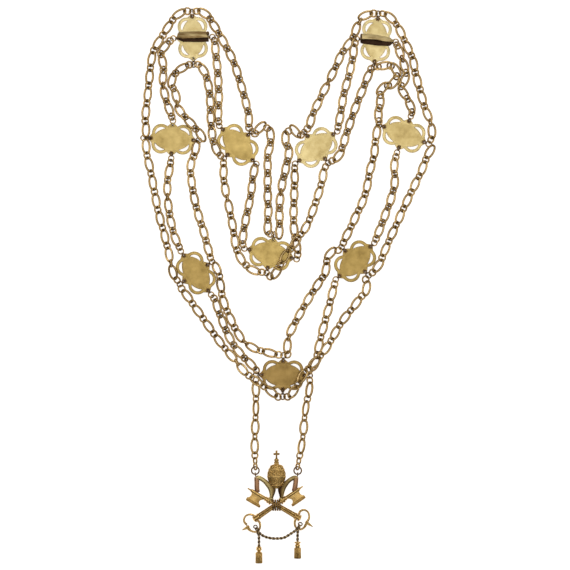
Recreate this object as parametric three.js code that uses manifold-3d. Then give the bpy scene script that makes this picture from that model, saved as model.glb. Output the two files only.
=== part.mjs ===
// Chain of office in gilt metal: ten openwork oval plaques in a closed loop, joined by three strands of
// chain between each pair of neighbours, with a badge of tiara and crossed keys on two short chains.
// Millimetres, Z up. It lies on a floor at z = 0 with its reverse side up. The origin is on the floor,
// under the middle of the front centre plaque, and +Y points from the badge to the back of the neck.

import * as THREE from 'three';
import { mergeVertices } from 'three/addons/utils/BufferGeometryUtils.js';
import Module from 'manifold-3d';

const wasm = await Module();
wasm.setup();

const DEGREE = Math.PI / 180;
const FACE_TOLERANCE = 0.12; // flat faces that meet are joined into one
const WELD = 1e-4; // corners closer than this are one
const GAP = 0.3; // clearance between pieces that touch on the real object

// Plaque
const DISC_X = 15.7; // half length of the oval centre
const DISC_Y = 9.7; // half width of the oval centre
const DISC_SIDES = 16;
const LOBE_RADIUS = 7.9; // four round lobes, one in each corner
const LOBE_X = 9.35;
const LOBE_Y = 4.8;
const LOBE_SIDES = 12;
const BAND = 2.2; // width of the band that is left round each pierced lobe
const PLATE = 1.2; // thickness of the pierced plate
const MEDALLION = 2; // height of the oval medallion on the front, which faces the floor
const MEDALLION_INSET = 1.3;
const OVERLAP = 0.2; // depth at which the parts of one solid are fused
const CUT_MARGIN = 1; // length of a cutter beyond the face that it cuts
const EYE_OUT = 2.3; // from the edge of the oval centre to the middle of each eye
const EYE_RADIUS = 2.1;
const EYE_HOLE = 1.45;
const EYE_SIDES = 8;
const HOLE_SIDES = 6;
const TAB_RADIUS = 4.7; // round tab that carries the eye
const TAB_IN = 1.2;
const PLAQUE_TOP = MEDALLION + PLATE;
const EYE_X = DISC_X + EYE_OUT;
const EYE_Y = DISC_Y + EYE_OUT;

// Clip on the back of each shoulder plaque, a strip bent back over itself
const CLIP_WIDTH = 4.8;
const CLIP_THICK = 1.1;
const CLIP_SLOT = 2.2; // room between the two legs
const CLIP_REACH = 13.6; // from the middle of the plaque to the bend, and to the tip
const CLIP_FOOT = 9; // length of the leg that is soldered down
const CLIP_TIP = 6; // length of the pointed end
const CLIP_TIP_WIDTH = 1.2;
const CLIP_DIP = 0.8; // drop of the tip towards the plaque
const CLIP_STEPS = 5;

// Strand of chain between two plaques
const STRAND_WIDTH = 5.4;
const STRAND_HEIGHT = 4;
const STRAND_SIDES = 8;
const STRAND_STEP = 14;
const STRAND_END_SHARE = 0.5; // the end ring's width as a share of the strand's
const STRAND_END_REACH = 0.6; // how far the end ring's corners lie from its middle, as a share
const STRAND_SEAT = EYE_RADIUS + GAP * 2;

// Links of the two pendant chains
const OVAL_LENGTH = 14.2;
const OVAL_WIDTH = 7.3;
const OVAL_WIRE = 1.5;
const RING_SIZE = 6.4;
const RING_WIRE = 1.25;
const LINK_STEPS = 10;
const LINK_SIDES = 5;
const LINK_BITE = 0.4; // depth at which neighbouring links are fused
const JUMP_SIZE = 5.6; // ring through the plaque's eye
const JUMP_WIRE = 0.8;
const JUMP_TILT = 62;
const PENDANT_Z = 3.2; // height of the middle of the links
const HOOK_TILT = 74; // of the last ring, which hangs in the badge ring
const HOOK_GAP = 0.7;

// Badge
const BADGE_X = -5.5; // middle of the tiara's rim
const BADGE_Y = -96;
const BADGE_RING_SIZE = 7.7;
const BADGE_RING_WIRE = 1.3;
const HANGER_Z = 2.8; // height at which the badge rings lie
const HANGER_RADIUS = 1.75; // upright loop on each lappet, middle of its wire
const HANGER_WIRE = 1.1;
const HANGER_RISE = 1; // middle of the loop above the lappet's edge
const TIARA_HEIGHT = 20.8;
const TIARA_RADIUS = 8.6;
const TIARA_FLATTEN = 0.42; // depth as a share of width
const TIARA_SIDES = 14;
const ORB_RADIUS = 2.1;
const ORB_SIDES = 8;
const ORB_RISE = 0.6; // of its middle above the tiara, in radii
const CROSS_RISE = 1.4; // of the cross's foot above the tiara, in radii of the orb
const CROSS_ARMS = 0.62; // height of the arms, as a share of the cross's
const CROSS_HEIGHT = 6.4;
const CROSS_SPAN = 4.9;
const CROSS_BAR = 1.4;
const LAPPET_WIDTH = 3.8;
const LAPPET_THICK = 1.6;
const KEY_Z = 2.6; // height of the middle of both shafts
const KEY_SHAFT = 4.4; // lower, thicker half
const KEY_STEM = 2.8; // upper half, which carries the bit
const KEY_COLLAR = 5.2;
const KEY_COLLAR_LENGTH = 2.6;
const KEY_COLLAR_PLACE = 20.7; // tip to collar
const KEY_BLOCK = 5.4; // square block between shaft and bow
const KEY_TIP = 4; // length of the pointed tip
const KEY_POINT = 0.56; // radius at the very tip
const KEY_SIDES = 8;
const BIT_WIDTH = 7.4;
const BIT_REACH = 8; // from the middle of the shaft
const BIT_THICK = 1.7;
const BIT_BAR = 12;
const BIT_BAR_WIDTH = 2.8;
const BIT_PLACE = 9.8; // tip to the middle of the bit
const BINDING_WIDTH = 7.6; // across all turns of the wire round the crossing
const BINDING_HEIGHT = 9.4;
const BINDING_WRAPS = 4;
const BINDING_FILL = 0.94; // of one turn, as a share of its room
const BOW_WIRE = 1.25;
const BOW_Z = 1.2;
const KNOB_RADIUS = 1.75; // ball at the lower end of each bow
const KNOB_FLATTEN = 0.8;
const KNOB_RISE = 0.3;
const LEAF_TIP = 0.42; // radius of the bow's leaf
const BALL_STEPS = 5;
const CORD_SIZE = 2;
const CORD_SIDES = 8;
const CORD_STEP = 5.5;
const KNOT_SIZE = 4.4;
const KNOT_FLATTEN = 0.7;
const TASSEL_LENGTH = 14.8;
const TASSEL_SIZE = 5.6;
const TASSEL_Z = 2.9;
const TASSEL_RIBS = 7;
const TASSEL_GROOVE = 0.88; // radius between two ribs, as a share

// Places of the plaques, and the turn of each long axis from +X
const PLAQUES = {
  shoulder_plaque_left: { x: -76.6, y: 286.5, turn: 91.7, clip: 1 },
  shoulder_plaque_right: { x: 79.1, y: 284.3, turn: 85.4, clip: -1 },
  front_plaque_upper_left: { x: -94.2, y: 200.3, turn: -2.7 },
  front_plaque_upper_right: { x: 102.7, y: 204.4, turn: -20.9 },
  front_plaque_lower_left: { x: -73.9, y: 86.7, turn: -55.2 },
  front_plaque_lower_right: { x: 61.2, y: 96.7, turn: 43.5 },
  front_plaque_centre: { x: 0, y: 0, turn: -1 },
  back_plaque_left: { x: -38.4, y: 195.5, turn: -45.9 },
  back_plaque_right: { x: 28.2, y: 193.3, turn: 37.6 },
  back_plaque_centre: { x: -10.6, y: 103, turn: -11.6 },
};

// Routes of the strands. Each starts and ends at an eye, named by its plaque and its side before the
// plaque's turn, and passes the points between, which are x, y and how far the strand is lifted there.
const ROUTES = {
  chain_front_left_high_outer: {
    from: ['shoulder_plaque_left', 'east'],
    to: ['front_plaque_upper_left', 'west'],
    points: [[-82, 309, 0], [-90, 305.5, 0], [-96, 298, 0], [-103, 287, 0], [-110, 275, 0],
      [-112.5, 261, 0], [-114, 247, 0], [-115.5, 232, 0], [-117, 217, 0], [-116.5, 206.5, 0]],
  },
  chain_front_left_high_middle: {
    from: ['shoulder_plaque_left', 'north'],
    to: ['front_plaque_upper_left', 'north'],
    points: [[-94, 285.5, 0], [-100, 279.5, 0], [-103.5, 273, 0], [-101.5, 262, 0], [-102, 248, 0],
      [-99.5, 234.5, 0], [-95, 221, 0]],
  },
  chain_front_left_high_inner: {
    from: ['shoulder_plaque_left', 'west'],
    to: ['front_plaque_upper_left', 'east'],
    points: [[-81, 263, 0], [-91, 256.5, 0], [-94.5, 249, 0], [-91, 238, 0], [-89, 227, 1],
      [-83, 219, 3.8], [-75.5, 210.5, 4.4], [-69, 202, 2.2]],
  },
  chain_front_left_middle_outer: {
    from: ['front_plaque_upper_left', 'west'],
    to: ['front_plaque_lower_left', 'south'],
    points: [[-116.5, 196, 0], [-116, 190, 0], [-113, 175.5, 0], [-110, 160.5, 0], [-106, 139, 0],
      [-102, 124, 0], [-98, 108, 1], [-94.5, 93, 3.6], [-93, 86, 2.5], [-90.5, 81.5, 0.5]],
  },
  chain_front_left_middle_middle: {
    from: ['front_plaque_upper_left', 'south'],
    to: ['front_plaque_lower_left', 'west'],
    points: [[-95.5, 180, 0], [-98, 165, 0], [-98, 150.5, 0], [-95, 129.5, 0], [-91, 115, 0],
      [-87.5, 107.5, 0]],
  },
  chain_front_left_middle_inner: {
    from: ['front_plaque_upper_left', 'east'],
    to: ['front_plaque_lower_left', 'north'],
    points: [[-73.5, 196, 0], [-74.5, 190, 0], [-78.5, 177, 0], [-77.5, 163.5, 0], [-73.5, 142, 0],
      [-67, 120.5, 0], [-61.5, 99.5, 0]],
  },
  chain_front_left_low_outer: {
    from: ['front_plaque_lower_left', 'south'],
    to: ['front_plaque_centre', 'south'],
    points: [[-86.5, 74, 0], [-82, 68, 0], [-68.5, 49, 0], [-55, 30, 0], [-40.5, 12.5, 1.5],
      [-31.5, 2, 5.4], [-23.5, -4, 5.8], [-13, -11.5, 5], [-7.5, -16, 3.6], [-4.6, -18.3, 1.6]],
  },
  chain_front_left_low_middle: {
    from: ['front_plaque_lower_left', 'east'],
    to: ['front_plaque_centre', 'west'],
    points: [[-58.5, 65, 0], [-53.5, 51, 0], [-45, 31, 0], [-36.5, 18.5, 0], [-25.5, 7.5, 0],
      [-22.5, 4, 0.5]],
  },
  chain_front_left_low_inner: {
    from: ['front_plaque_lower_left', 'north'],
    to: ['front_plaque_centre', 'north'],
    points: [[-57.5, 92.6, 0.8], [-54, 85.5, 3.6], [-53, 77, 1.5], [-51, 64.5, 0], [-43.5, 45.5, 0],
      [-35.5, 31.5, 0], [-26, 23.5, 0], [-14, 19.5, 0], [-5, 17.5, 0]],
  },
  chain_front_right_high_outer: {
    from: ['shoulder_plaque_right', 'east'],
    to: ['front_plaque_upper_right', 'east'],
    points: [[84.5, 307, 0], [92, 303, 0], [98.5, 294, 0], [105, 280, 0], [110, 269, 0],
      [112.5, 256, 0], [116.5, 242, 0], [120, 228.5, 0], [124.6, 216, 0], [126.6, 203.5, 0]],
  },
  chain_front_right_high_middle: {
    from: ['shoulder_plaque_right', 'south'],
    to: ['front_plaque_upper_right', 'north'],
    points: [[98.5, 276, 0], [101.5, 267.5, 0], [104.5, 254, 0], [100.5, 244, 0], [106, 234, 0],
      [109.5, 224, 0]],
  },
  chain_front_right_high_inner: {
    from: ['shoulder_plaque_right', 'west'],
    to: ['front_plaque_upper_right', 'west'],
    points: [[82, 262, 0], [90.5, 263, 0], [96.5, 258, 0], [94, 248.5, 0], [84, 243, 0],
      [82.5, 231, 0], [81, 221, 0], [81.5, 216, 0]],
  },
  chain_front_right_middle_outer: {
    from: ['front_plaque_upper_right', 'east'],
    to: ['front_plaque_lower_right', 'south'],
    points: [[125.5, 192, 0], [122.5, 186, 0], [117.5, 173, 0], [108, 153.5, 0], [97, 129.5, 0],
      [87.5, 108, 0], [81.5, 94, 0.8], [76.5, 87.5, 0]],
  },
  chain_front_right_middle_middle: {
    from: ['front_plaque_upper_right', 'south'],
    to: ['front_plaque_lower_right', 'east'],
    points: [[94.5, 178, 0], [95, 165, 0], [92, 150.5, 0], [84.5, 130, 0], [79, 115.5, 0]],
  },
  chain_front_right_middle_inner: {
    from: ['front_plaque_upper_right', 'west'],
    to: ['front_plaque_lower_right', 'north'],
    points: [[80, 207.5, 0], [78.5, 199, 0], [77.5, 188, 0], [74, 174, 0], [69.5, 152.5, 0], [61, 133, 0],
      [51.5, 113, 0]],
  },
  chain_front_right_low_outer: {
    from: ['front_plaque_lower_right', 'south'],
    to: ['front_plaque_centre', 'south'],
    points: [[70, 80.5, 0], [71, 74, 0], [63, 62, 0], [49.5, 44.5, 0], [39, 26.5, 2.5], [30, 14.5, 5.4],
      [23, 7, 5.8], [17, 0, 5.6], [12, -9, 5.2], [7.5, -15.5, 3.6], [4.6, -18.3, 1.6]],
  },
  chain_front_right_low_middle: {
    from: ['front_plaque_lower_right', 'west'],
    to: ['front_plaque_centre', 'east'],
    points: [[42.5, 72, 0], [38, 54, 0], [33, 35.5, 0], [29.5, 20, 0], [27, 9.5, 0], [22.5, 5, 0.5]],
  },
  chain_front_right_low_inner: {
    from: ['front_plaque_lower_right', 'north'],
    to: ['front_plaque_centre', 'north'],
    points: [[47, 106, 0], [40.5, 103.5, 0], [37, 96, 0], [36, 87.5, 0], [27.5, 74, 0], [20, 62, 0],
      [12.5, 48.5, 0], [6, 35.5, 0], [3.5, 22, 0], [4, 17.5, 0]],
  },
  chain_back_left_high_outer: {
    from: ['shoulder_plaque_left', 'east'],
    to: ['back_plaque_left', 'north'],
    points: [[-73, 309, 0], [-65, 306, 0], [-58, 296, 0], [-50, 282, 0], [-42, 266, 0],
      [-37, 251, 0], [-32.5, 235, 0], [-29, 220, 0], [-29, 210.5, 0]],
  },
  chain_back_left_high_middle: {
    from: ['shoulder_plaque_left', 'south'],
    to: ['back_plaque_left', 'west'],
    points: [[-58.5, 284.5, 0], [-57.5, 277, 0], [-56, 263, 0], [-55, 249.5, 0], [-54.5, 235.5, 0],
      [-55, 221, 0]],
  },
  chain_back_left_high_inner: {
    from: ['shoulder_plaque_left', 'west'],
    to: ['back_plaque_left', 'south'],
    points: [[-71.5, 263.5, 0], [-66.5, 257, 0], [-64, 249, 0], [-62, 235.5, 0], [-61.5, 221.5, 0],
      [-60.5, 208, 1.5], [-59, 198, 3.8], [-54.5, 188, 1.5]],
  },
  chain_back_left_low_outer: {
    from: ['back_plaque_left', 'north'],
    to: ['back_plaque_centre', 'north'],
    points: [[-24, 205, 0], [-18, 211, 0], [-12, 208.5, 0], [-10.5, 198.5, 0], [-13, 186, 0],
      [-13, 174.5, 0], [-13, 154, 0], [-12.5, 139.5, 0], [-13, 127, 0], [-12, 120.5, 0]],
  },
  chain_back_left_low_middle: {
    from: ['back_plaque_left', 'east'],
    to: ['back_plaque_centre', 'west'],
    points: [[-23, 178.5, 0], [-25.5, 169, 0], [-27, 155, 0], [-30.5, 137, 0], [-33.5, 122, 0],
      [-34, 111.5, 0]],
  },
  chain_back_left_low_inner: {
    from: ['back_plaque_left', 'south'],
    to: ['back_plaque_centre', 'south'],
    points: [[-50.5, 180.5, 0], [-50, 164, 0], [-46.5, 146, 0], [-43, 128, 0], [-39, 106, 0],
      [-33, 95, 0], [-25, 89, 0], [-18.5, 87.5, 0]],
  },
  chain_back_right_high_outer: {
    from: ['shoulder_plaque_right', 'east'],
    to: ['back_plaque_right', 'north'],
    points: [[75.5, 307, 0], [68.5, 304.5, 0], [63.5, 297, 0], [59, 286, 0], [50.5, 274, 0],
      [44.5, 261, 0], [38.5, 249, 0], [32, 235.5, 0], [26, 223, 0], [21.5, 210.5, 0]],
  },
  chain_back_right_high_middle: {
    from: ['shoulder_plaque_right', 'north'],
    to: ['back_plaque_right', 'east'],
    points: [[60.5, 280, 0], [59.5, 271, 0], [56, 254, 0], [52, 240, 0], [48.5, 219.5, 0]],
  },
  chain_back_right_high_inner: {
    from: ['shoulder_plaque_right', 'west'],
    to: ['back_plaque_right', 'south'],
    points: [[76, 262, 0], [74, 258, 0], [69, 246, 0], [61.5, 227, 0], [54.5, 206.5, 0], [50.5, 194, 0],
      [47, 186, 0], [41, 181.5, 0]],
  },
  chain_back_right_low_outer: {
    from: ['back_plaque_right', 'north'],
    to: ['back_plaque_centre', 'north'],
    points: [[14, 203.5, 0], [8.5, 208.5, 0], [4, 206.5, 0], [2, 200.5, 0], [5, 190, 0],
      [3, 178.5, 0], [-1.5, 158, 0], [-3, 140.5, 0], [-3, 126, 0], [-4, 119, 0]],
  },
  chain_back_right_low_middle: {
    from: ['back_plaque_right', 'west'],
    to: ['back_plaque_centre', 'east'],
    points: [[10, 177, 0], [10, 169, 0], [9.5, 154, 0], [9, 132, 0], [10, 118, 0], [12, 108, 0],
      [12.5, 102, 0]],
  },
  chain_back_right_low_inner: {
    from: ['back_plaque_right', 'south'],
    to: ['back_plaque_centre', 'south'],
    points: [[35.5, 175.5, 0], [32.5, 162, 0], [26, 141.5, 0], [20.5, 127.5, 1], [14.5, 118.5, 4.6],
      [8.5, 110, 5.4], [3, 102.5, 4.6], [-1, 96, 4.8], [-4.6, 89, 4.4], [-9.6, 83.2, 1.8]],
  },
};

// Pendant chains, from an eye of the front centre plaque down to a badge ring
const PENDANTS = {
  pendant_chain_left: {
    eye: 'west',
    ring: 'left',
    points: [[-21.5, -1.5], [-23.3, -5.5], [-23, -12], [-23, -27], [-24, -60]],
    tilts: [-35, 15, -38, 38, -35, 12, 62, 15, -30, 60],
  },
  pendant_chain_right: {
    eye: 'east',
    ring: 'right',
    points: [[21.5, -1.5], [23, -5.5], [22.5, -11], [19, -30], [16.5, -55]],
    tilts: [-35, 30, -38, 35, -35, 12, 60, 15, -30, 60],
  },
};
const PENDANT_LINKS = ['jump', 'ring', 'oval', 'ring', 'oval', 'ring', 'oval', 'ring', 'oval',
  'ring', 'ring', 'ring'];

// Profile of the tiara, as shares of its radius and its height, with its three crowns standing out
const TIARA_PROFILE = [
  [0, 0], [0.66, 0], [0.76, 0.11], [0.87, 0.12], [0.89, 0.2], [0.84, 0.22], [1, 0.46], [1, 0.54],
  [0.92, 0.56], [0.8, 0.74], [0.83, 0.76], [0.8, 0.85], [0.68, 0.87], [0.3, 1], [0, 1],
];

// Profile of a tassel below its cord, as shares of its radius and its length
const TASSEL_PROFILE = [
  [0, 0], [0.5, 0.014], [0.9, 0.11], [0.9, 0.19], [0.5, 0.28], [0.52, 0.34], [0.88, 0.4], [1, 1], [0, 1],
];

// Badge, in millimetres from the middle of the tiara's rim
const LAPPETS = {
  left: {
    inner: [[-18, 8.9], [-11.5, 8], [-8.1, 5], [-5.6, 0.8], [-4.9, -4.3], [-5.1, -9.4]],
    outer: [[-16.6, 8.6], [-17, 5.5], [-16.6, 1], [-16.3, -3.4]],
  },
  right: {
    inner: [[18, 8.9], [11.5, 8], [8.1, 5], [5.3, 0.8], [4, -4.3], [3.8, -9.4]],
    outer: [[16.6, 8.6], [17, 5.5], [16.2, 1.5], [15.3, -1.7]],
  },
};
const KEYS = [
  { tip: [-24.6, 0], foot: [18.3, -24.7], bitSide: -1 },
  { tip: [22.5, 1.7], foot: [-17.4, -25.5], bitSide: 1 },
];
const KEY_CROSSING = [0, -14.45];
const BOWS = [
  { loops: [[-23.2, -26.9, 4.4], [-18, -32.4, 4]], knob: [-23.8, -33], leaf: [-29.3, -35.7] },
  { loops: [[23.4, -22.6, 4.8], [19.3, -30.4, 4.4]], knob: [25, -29.4], leaf: [31, -32.7] },
];
const SWAG = [[-17, -33.2, 3.8], [-14.9, -37.4, 2.8], [-12.3, -40, 1.4], [-7.2, -42.1, 1.1],
  [-0.4, -42.9, 1.1], [6.4, -42.1, 1.1], [11.5, -39.1, 1.5], [17, -35, 3], [20, -31, 3.8]];
const DROPS = [
  { name: 'left', points: [[-17, -33.2, 3.8], [-15.4, -37, 3.3], [-14.9, -43, 2.9], [-14.9, -49.2, 2.9]] },
  { name: 'right', points: [[20, -31, 3.8], [18.2, -35.5, 3.3], [17.9, -40, 2.9], [17.9, -45.2, 2.9]] },
];
const LAPPET_STEP = 3.6;

const gilt = new THREE.MeshStandardMaterial({ color: 0xcdb377, roughness: 0.38, metalness: 1 });
const chainGilt = new THREE.MeshStandardMaterial({ color: 0xa8874c, roughness: 0.34, metalness: 1 });
const badgeGilt = new THREE.MeshStandardMaterial({ color: 0xc6a055, roughness: 0.32, metalness: 1 });
const darkGilt = new THREE.MeshStandardMaterial({ color: 0x5a4a38, roughness: 0.5, metalness: 1 });

const officeChain = new THREE.Group();

// Solids
function solidOf(geometry) {
  const bare = geometry.clone();
  bare.deleteAttribute('normal');
  bare.deleteAttribute('uv');
  const joined = mergeVertices(bare, WELD);
  return new wasm.Manifold(new wasm.Mesh({
    numProp: 3,
    vertProperties: new Float32Array(joined.attributes.position.array),
    triVerts: new Uint32Array(joined.index.array),
  }));
}

function geometryOf(solid) {
  const mesh = solid.getMesh();
  const geometry = new THREE.BufferGeometry();
  geometry.setAttribute('position', new THREE.BufferAttribute(mesh.vertProperties, 3));
  geometry.setIndex(new THREE.BufferAttribute(mesh.triVerts, 1));
  geometry.computeVertexNormals();
  return geometry;
}

function join(geometries) {
  return geometries.map(solidOf).reduce((whole, next) => whole.add(next));
}

function cleaned(solid) {
  return geometryOf(solid.asOriginal().simplify(FACE_TOLERANCE));
}

function addMesh(name, geometry, material, parent = officeChain) {
  const mesh = new THREE.Mesh(geometry, material.clone());
  mesh.name = name;
  parent.add(mesh);
  return mesh;
}

function oval(radiusX, radiusY, bottom, top, sides) {
  const geometry = new THREE.CylinderGeometry(1, 1, top - bottom, sides);
  geometry.rotateX(Math.PI / 2);
  geometry.scale(radiusX, radiusY, 1);
  return geometry.translate(0, 0, (bottom + top) / 2);
}

function round(radius, x, y, bottom, top, sides) {
  return oval(radius, radius, bottom, top, sides).translate(x, y, 0);
}

function block(width, depth, height, x, y, z) {
  return new THREE.BoxGeometry(width, depth, height).translate(x, y, z);
}

function sweep(shape, points, step) {
  const path = new THREE.CatmullRomCurve3(points.map(([x, y, z]) => new THREE.Vector3(x, y, z)));
  const steps = Math.ceil(path.getLength() / step);
  return new THREE.ExtrudeGeometry(shape, { steps, bevelEnabled: false, extrudePath: path });
}

function sectionOf(height, width, sides) {
  const shape = new THREE.Shape();
  for (let i = 0; i < sides; i += 1) {
    const angle = ((i + 0.5) / sides) * 2 * Math.PI;
    const across = Math.cos(Math.PI / sides);
    const point = [(height / 2) * Math.cos(angle) / across, (width / 2) * Math.sin(angle) / across];
    if (i === 0) shape.moveTo(...point);
    else shape.lineTo(...point);
  }
  shape.closePath();
  return shape;
}

// Plaques
const sides = { east: [1, 0], west: [-1, 0], north: [0, 1], south: [0, -1] };

function eyeOf(plaqueName, side) {
  const { x, y, turn } = PLAQUES[plaqueName];
  const [across, along] = sides[side];
  const cos = Math.cos(turn * DEGREE);
  const sin = Math.sin(turn * DEGREE);
  return new THREE.Vector3(
    x + across * EYE_X * cos - along * EYE_Y * sin,
    y + across * EYE_X * sin + along * EYE_Y * cos,
    0,
  );
}

function clipGeometry(direction) {
  const profile = new THREE.Shape();
  const foot = PLAQUE_TOP - OVERLAP;
  const under = PLAQUE_TOP + CLIP_THICK + CLIP_SLOT;
  const over = under + CLIP_THICK;
  const bend = (over - PLAQUE_TOP) / 2;
  profile.moveTo(-CLIP_REACH + CLIP_FOOT, foot);
  profile.lineTo(-CLIP_REACH + CLIP_FOOT, PLAQUE_TOP + CLIP_THICK);
  profile.lineTo(-CLIP_REACH + bend, PLAQUE_TOP + CLIP_THICK);
  profile.absarc(-CLIP_REACH + bend, PLAQUE_TOP + bend, bend - CLIP_THICK, -Math.PI / 2, Math.PI / 2, true);
  profile.lineTo(0, under);
  profile.lineTo(CLIP_REACH, under - CLIP_DIP);
  profile.lineTo(CLIP_REACH, over - CLIP_DIP);
  profile.lineTo(0, over);
  profile.lineTo(-CLIP_REACH + bend, over);
  profile.absarc(-CLIP_REACH + bend, PLAQUE_TOP + bend, bend, Math.PI / 2, Math.PI * 1.5, false);
  profile.lineTo(-CLIP_REACH + bend, foot);
  const strip = new THREE.ExtrudeGeometry(profile, {
    depth: CLIP_WIDTH, bevelEnabled: false, curveSegments: CLIP_STEPS,
  });
  strip.translate(0, 0, -CLIP_WIDTH / 2);
  strip.rotateX(Math.PI / 2);

  const plan = new THREE.Shape();
  const far = CLIP_REACH + CUT_MARGIN;
  plan.moveTo(-far, -CLIP_WIDTH);
  plan.lineTo(CLIP_REACH - CLIP_TIP, -CLIP_WIDTH / 2);
  plan.lineTo(CLIP_REACH, -CLIP_TIP_WIDTH / 2);
  plan.lineTo(CLIP_REACH, CLIP_TIP_WIDTH / 2);
  plan.lineTo(CLIP_REACH - CLIP_TIP, CLIP_WIDTH / 2);
  plan.lineTo(-far, CLIP_WIDTH);
  const outline = new THREE.ExtrudeGeometry(plan, { depth: over + CUT_MARGIN, bevelEnabled: false });
  const clip = geometryOf(solidOf(strip).intersect(solidOf(outline)));
  return clip.rotateZ(direction * Math.PI / 2);
}

function plaqueGeometry(clip) {
  const bottom = MEDALLION;
  const cutTop = PLAQUE_TOP + CUT_MARGIN;
  const plate = [oval(DISC_X, DISC_Y, bottom, PLAQUE_TOP, DISC_SIDES)];
  plate.push(oval(DISC_X - MEDALLION_INSET, DISC_Y - MEDALLION_INSET, 0, bottom + OVERLAP, DISC_SIDES));
  const pierced = [];
  for (const across of [-1, 1]) {
    for (const along of [-1, 1]) {
      const centre = [across * LOBE_X, along * LOBE_Y];
      plate.push(round(LOBE_RADIUS, ...centre, bottom, PLAQUE_TOP, LOBE_SIDES));
      pierced.push(round(LOBE_RADIUS - BAND, ...centre, bottom - CUT_MARGIN, cutTop, LOBE_SIDES));
    }
  }
  const holes = join(pierced).subtract(solidOf(oval(DISC_X, DISC_Y, 0, cutTop + CUT_MARGIN, DISC_SIDES)));
  const tabs = [];
  const eyes = [];
  for (const [across, along] of Object.values(sides)) {
    const eye = [across * EYE_X, along * EYE_Y];
    const tabX = across * (DISC_X - TAB_IN);
    const tabY = along * (DISC_Y - TAB_IN);
    tabs.push(round(TAB_RADIUS, tabX, tabY, bottom, PLAQUE_TOP, EYE_SIDES));
    tabs.push(round(EYE_RADIUS, ...eye, bottom, PLAQUE_TOP, EYE_SIDES));
    eyes.push(round(EYE_HOLE, ...eye, bottom - CUT_MARGIN, cutTop, HOLE_SIDES));
  }
  let solid = join(plate).subtract(holes).add(join(tabs)).subtract(join(eyes));
  if (clip) solid = solid.add(solidOf(clipGeometry(clip)));
  return cleaned(solid);
}

for (const [name, { x, y, turn, clip }] of Object.entries(PLAQUES)) {
  const plaque = addMesh(name, plaqueGeometry(clip), gilt);
  plaque.position.set(x, y, 0);
  plaque.rotation.z = turn * DEGREE;
}

// Strands of chain
function strandGeometry({ from, to, points }) {
  const middle = points.map(([x, y, lift]) => new THREE.Vector3(x, y, STRAND_HEIGHT / 2 + lift));
  const seat = (eye, neighbour) => {
    const flat = new THREE.Vector3(neighbour.x, neighbour.y, 0);
    const direction = flat.sub(eye).normalize();
    return eye.clone().addScaledVector(direction, STRAND_SEAT).setZ(STRAND_HEIGHT / 2);
  };
  const start = seat(eyeOf(...from), middle[0]);
  const end = seat(eyeOf(...to), middle[middle.length - 1]);
  const path = new THREE.CatmullRomCurve3([start, ...middle, end]);
  const steps = Math.ceil(path.getLength() / STRAND_STEP);
  const geometry = new THREE.ExtrudeGeometry(sectionOf(STRAND_HEIGHT, STRAND_WIDTH, STRAND_SIDES), {
    steps, bevelEnabled: false, extrudePath: path,
  });
  const position = geometry.attributes.position;
  const vertex = new THREE.Vector3();
  for (let i = 0; i < position.count; i += 1) {
    vertex.fromBufferAttribute(position, i);
    for (const tip of [start, end]) {
      if (vertex.distanceTo(tip) < STRAND_WIDTH * STRAND_END_REACH) vertex.lerp(tip, 1 - STRAND_END_SHARE);
    }
    position.setXYZ(i, vertex.x, vertex.y, vertex.z);
  }
  return geometry;
}

for (const [name, route] of Object.entries(ROUTES)) {
  addMesh(name, strandGeometry(route), chainGilt);
}

// Links: length lies along the direction, and tilt turns a link about it
function linkGeometry(length, width, wire) {
  const geometry = new THREE.TorusGeometry(1, wire / 2, LINK_SIDES, LINK_STEPS);
  const halfLength = (length - wire) / 2;
  const halfWidth = (width - wire) / 2;
  const position = geometry.attributes.position;
  for (let i = 0; i < position.count; i += 1) {
    const angle = Math.atan2(position.getY(i), position.getX(i));
    const out = Math.hypot(position.getX(i), position.getY(i)) - 1;
    const normal = new THREE.Vector2(Math.cos(angle) * halfWidth, Math.sin(angle) * halfLength).normalize();
    position.setX(i, Math.cos(angle) * halfLength + out * normal.x);
    position.setY(i, Math.sin(angle) * halfWidth + out * normal.y);
  }
  return geometry;
}

function placedLink(geometry, centre, direction, tilt) {
  geometry.rotateX(tilt * DEGREE);
  geometry.rotateZ(Math.atan2(direction.y, direction.x));
  return geometry.translate(centre.x, centre.y, centre.z);
}

function linkOf(kind) {
  if (kind === 'jump') return { length: JUMP_SIZE, width: JUMP_SIZE, wire: JUMP_WIRE };
  if (kind === 'oval') return { length: OVAL_LENGTH, width: OVAL_WIDTH, wire: OVAL_WIRE };
  return { length: RING_SIZE, width: RING_SIZE, wire: RING_WIRE };
}

function hangerHole(side) {
  const [x, y] = LAPPETS[side].inner[0];
  return [x, y + LAPPET_WIDTH / 2 + HANGER_RISE];
}

function badgeRingCentre(side) {
  const [x, y] = hangerHole(side);
  return [x, y + (BADGE_RING_SIZE - BADGE_RING_WIRE) / 2];
}

// A pendant's route as a curve, from the eye to the middle of the ring that hangs in the badge ring
function pendantPath({ eye, ring, points }) {
  const start = eyeOf('front_plaque_centre', eye).setZ(PLAQUE_TOP - PLATE / 2);
  const [ringX, ringY] = badgeRingCentre(ring);
  const wires = BADGE_RING_WIRE / 2 + RING_WIRE / 2 + HOOK_GAP;
  const rise = (BADGE_RING_SIZE - BADGE_RING_WIRE) / 2 + (RING_SIZE - RING_WIRE) / 2 - wires;
  const rest = [...points, [BADGE_X + ringX, BADGE_Y + ringY + rise]];
  return new THREE.CatmullRomCurve3([start, ...rest.map(([x, y]) => new THREE.Vector3(x, y, PENDANT_Z))]);
}

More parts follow.
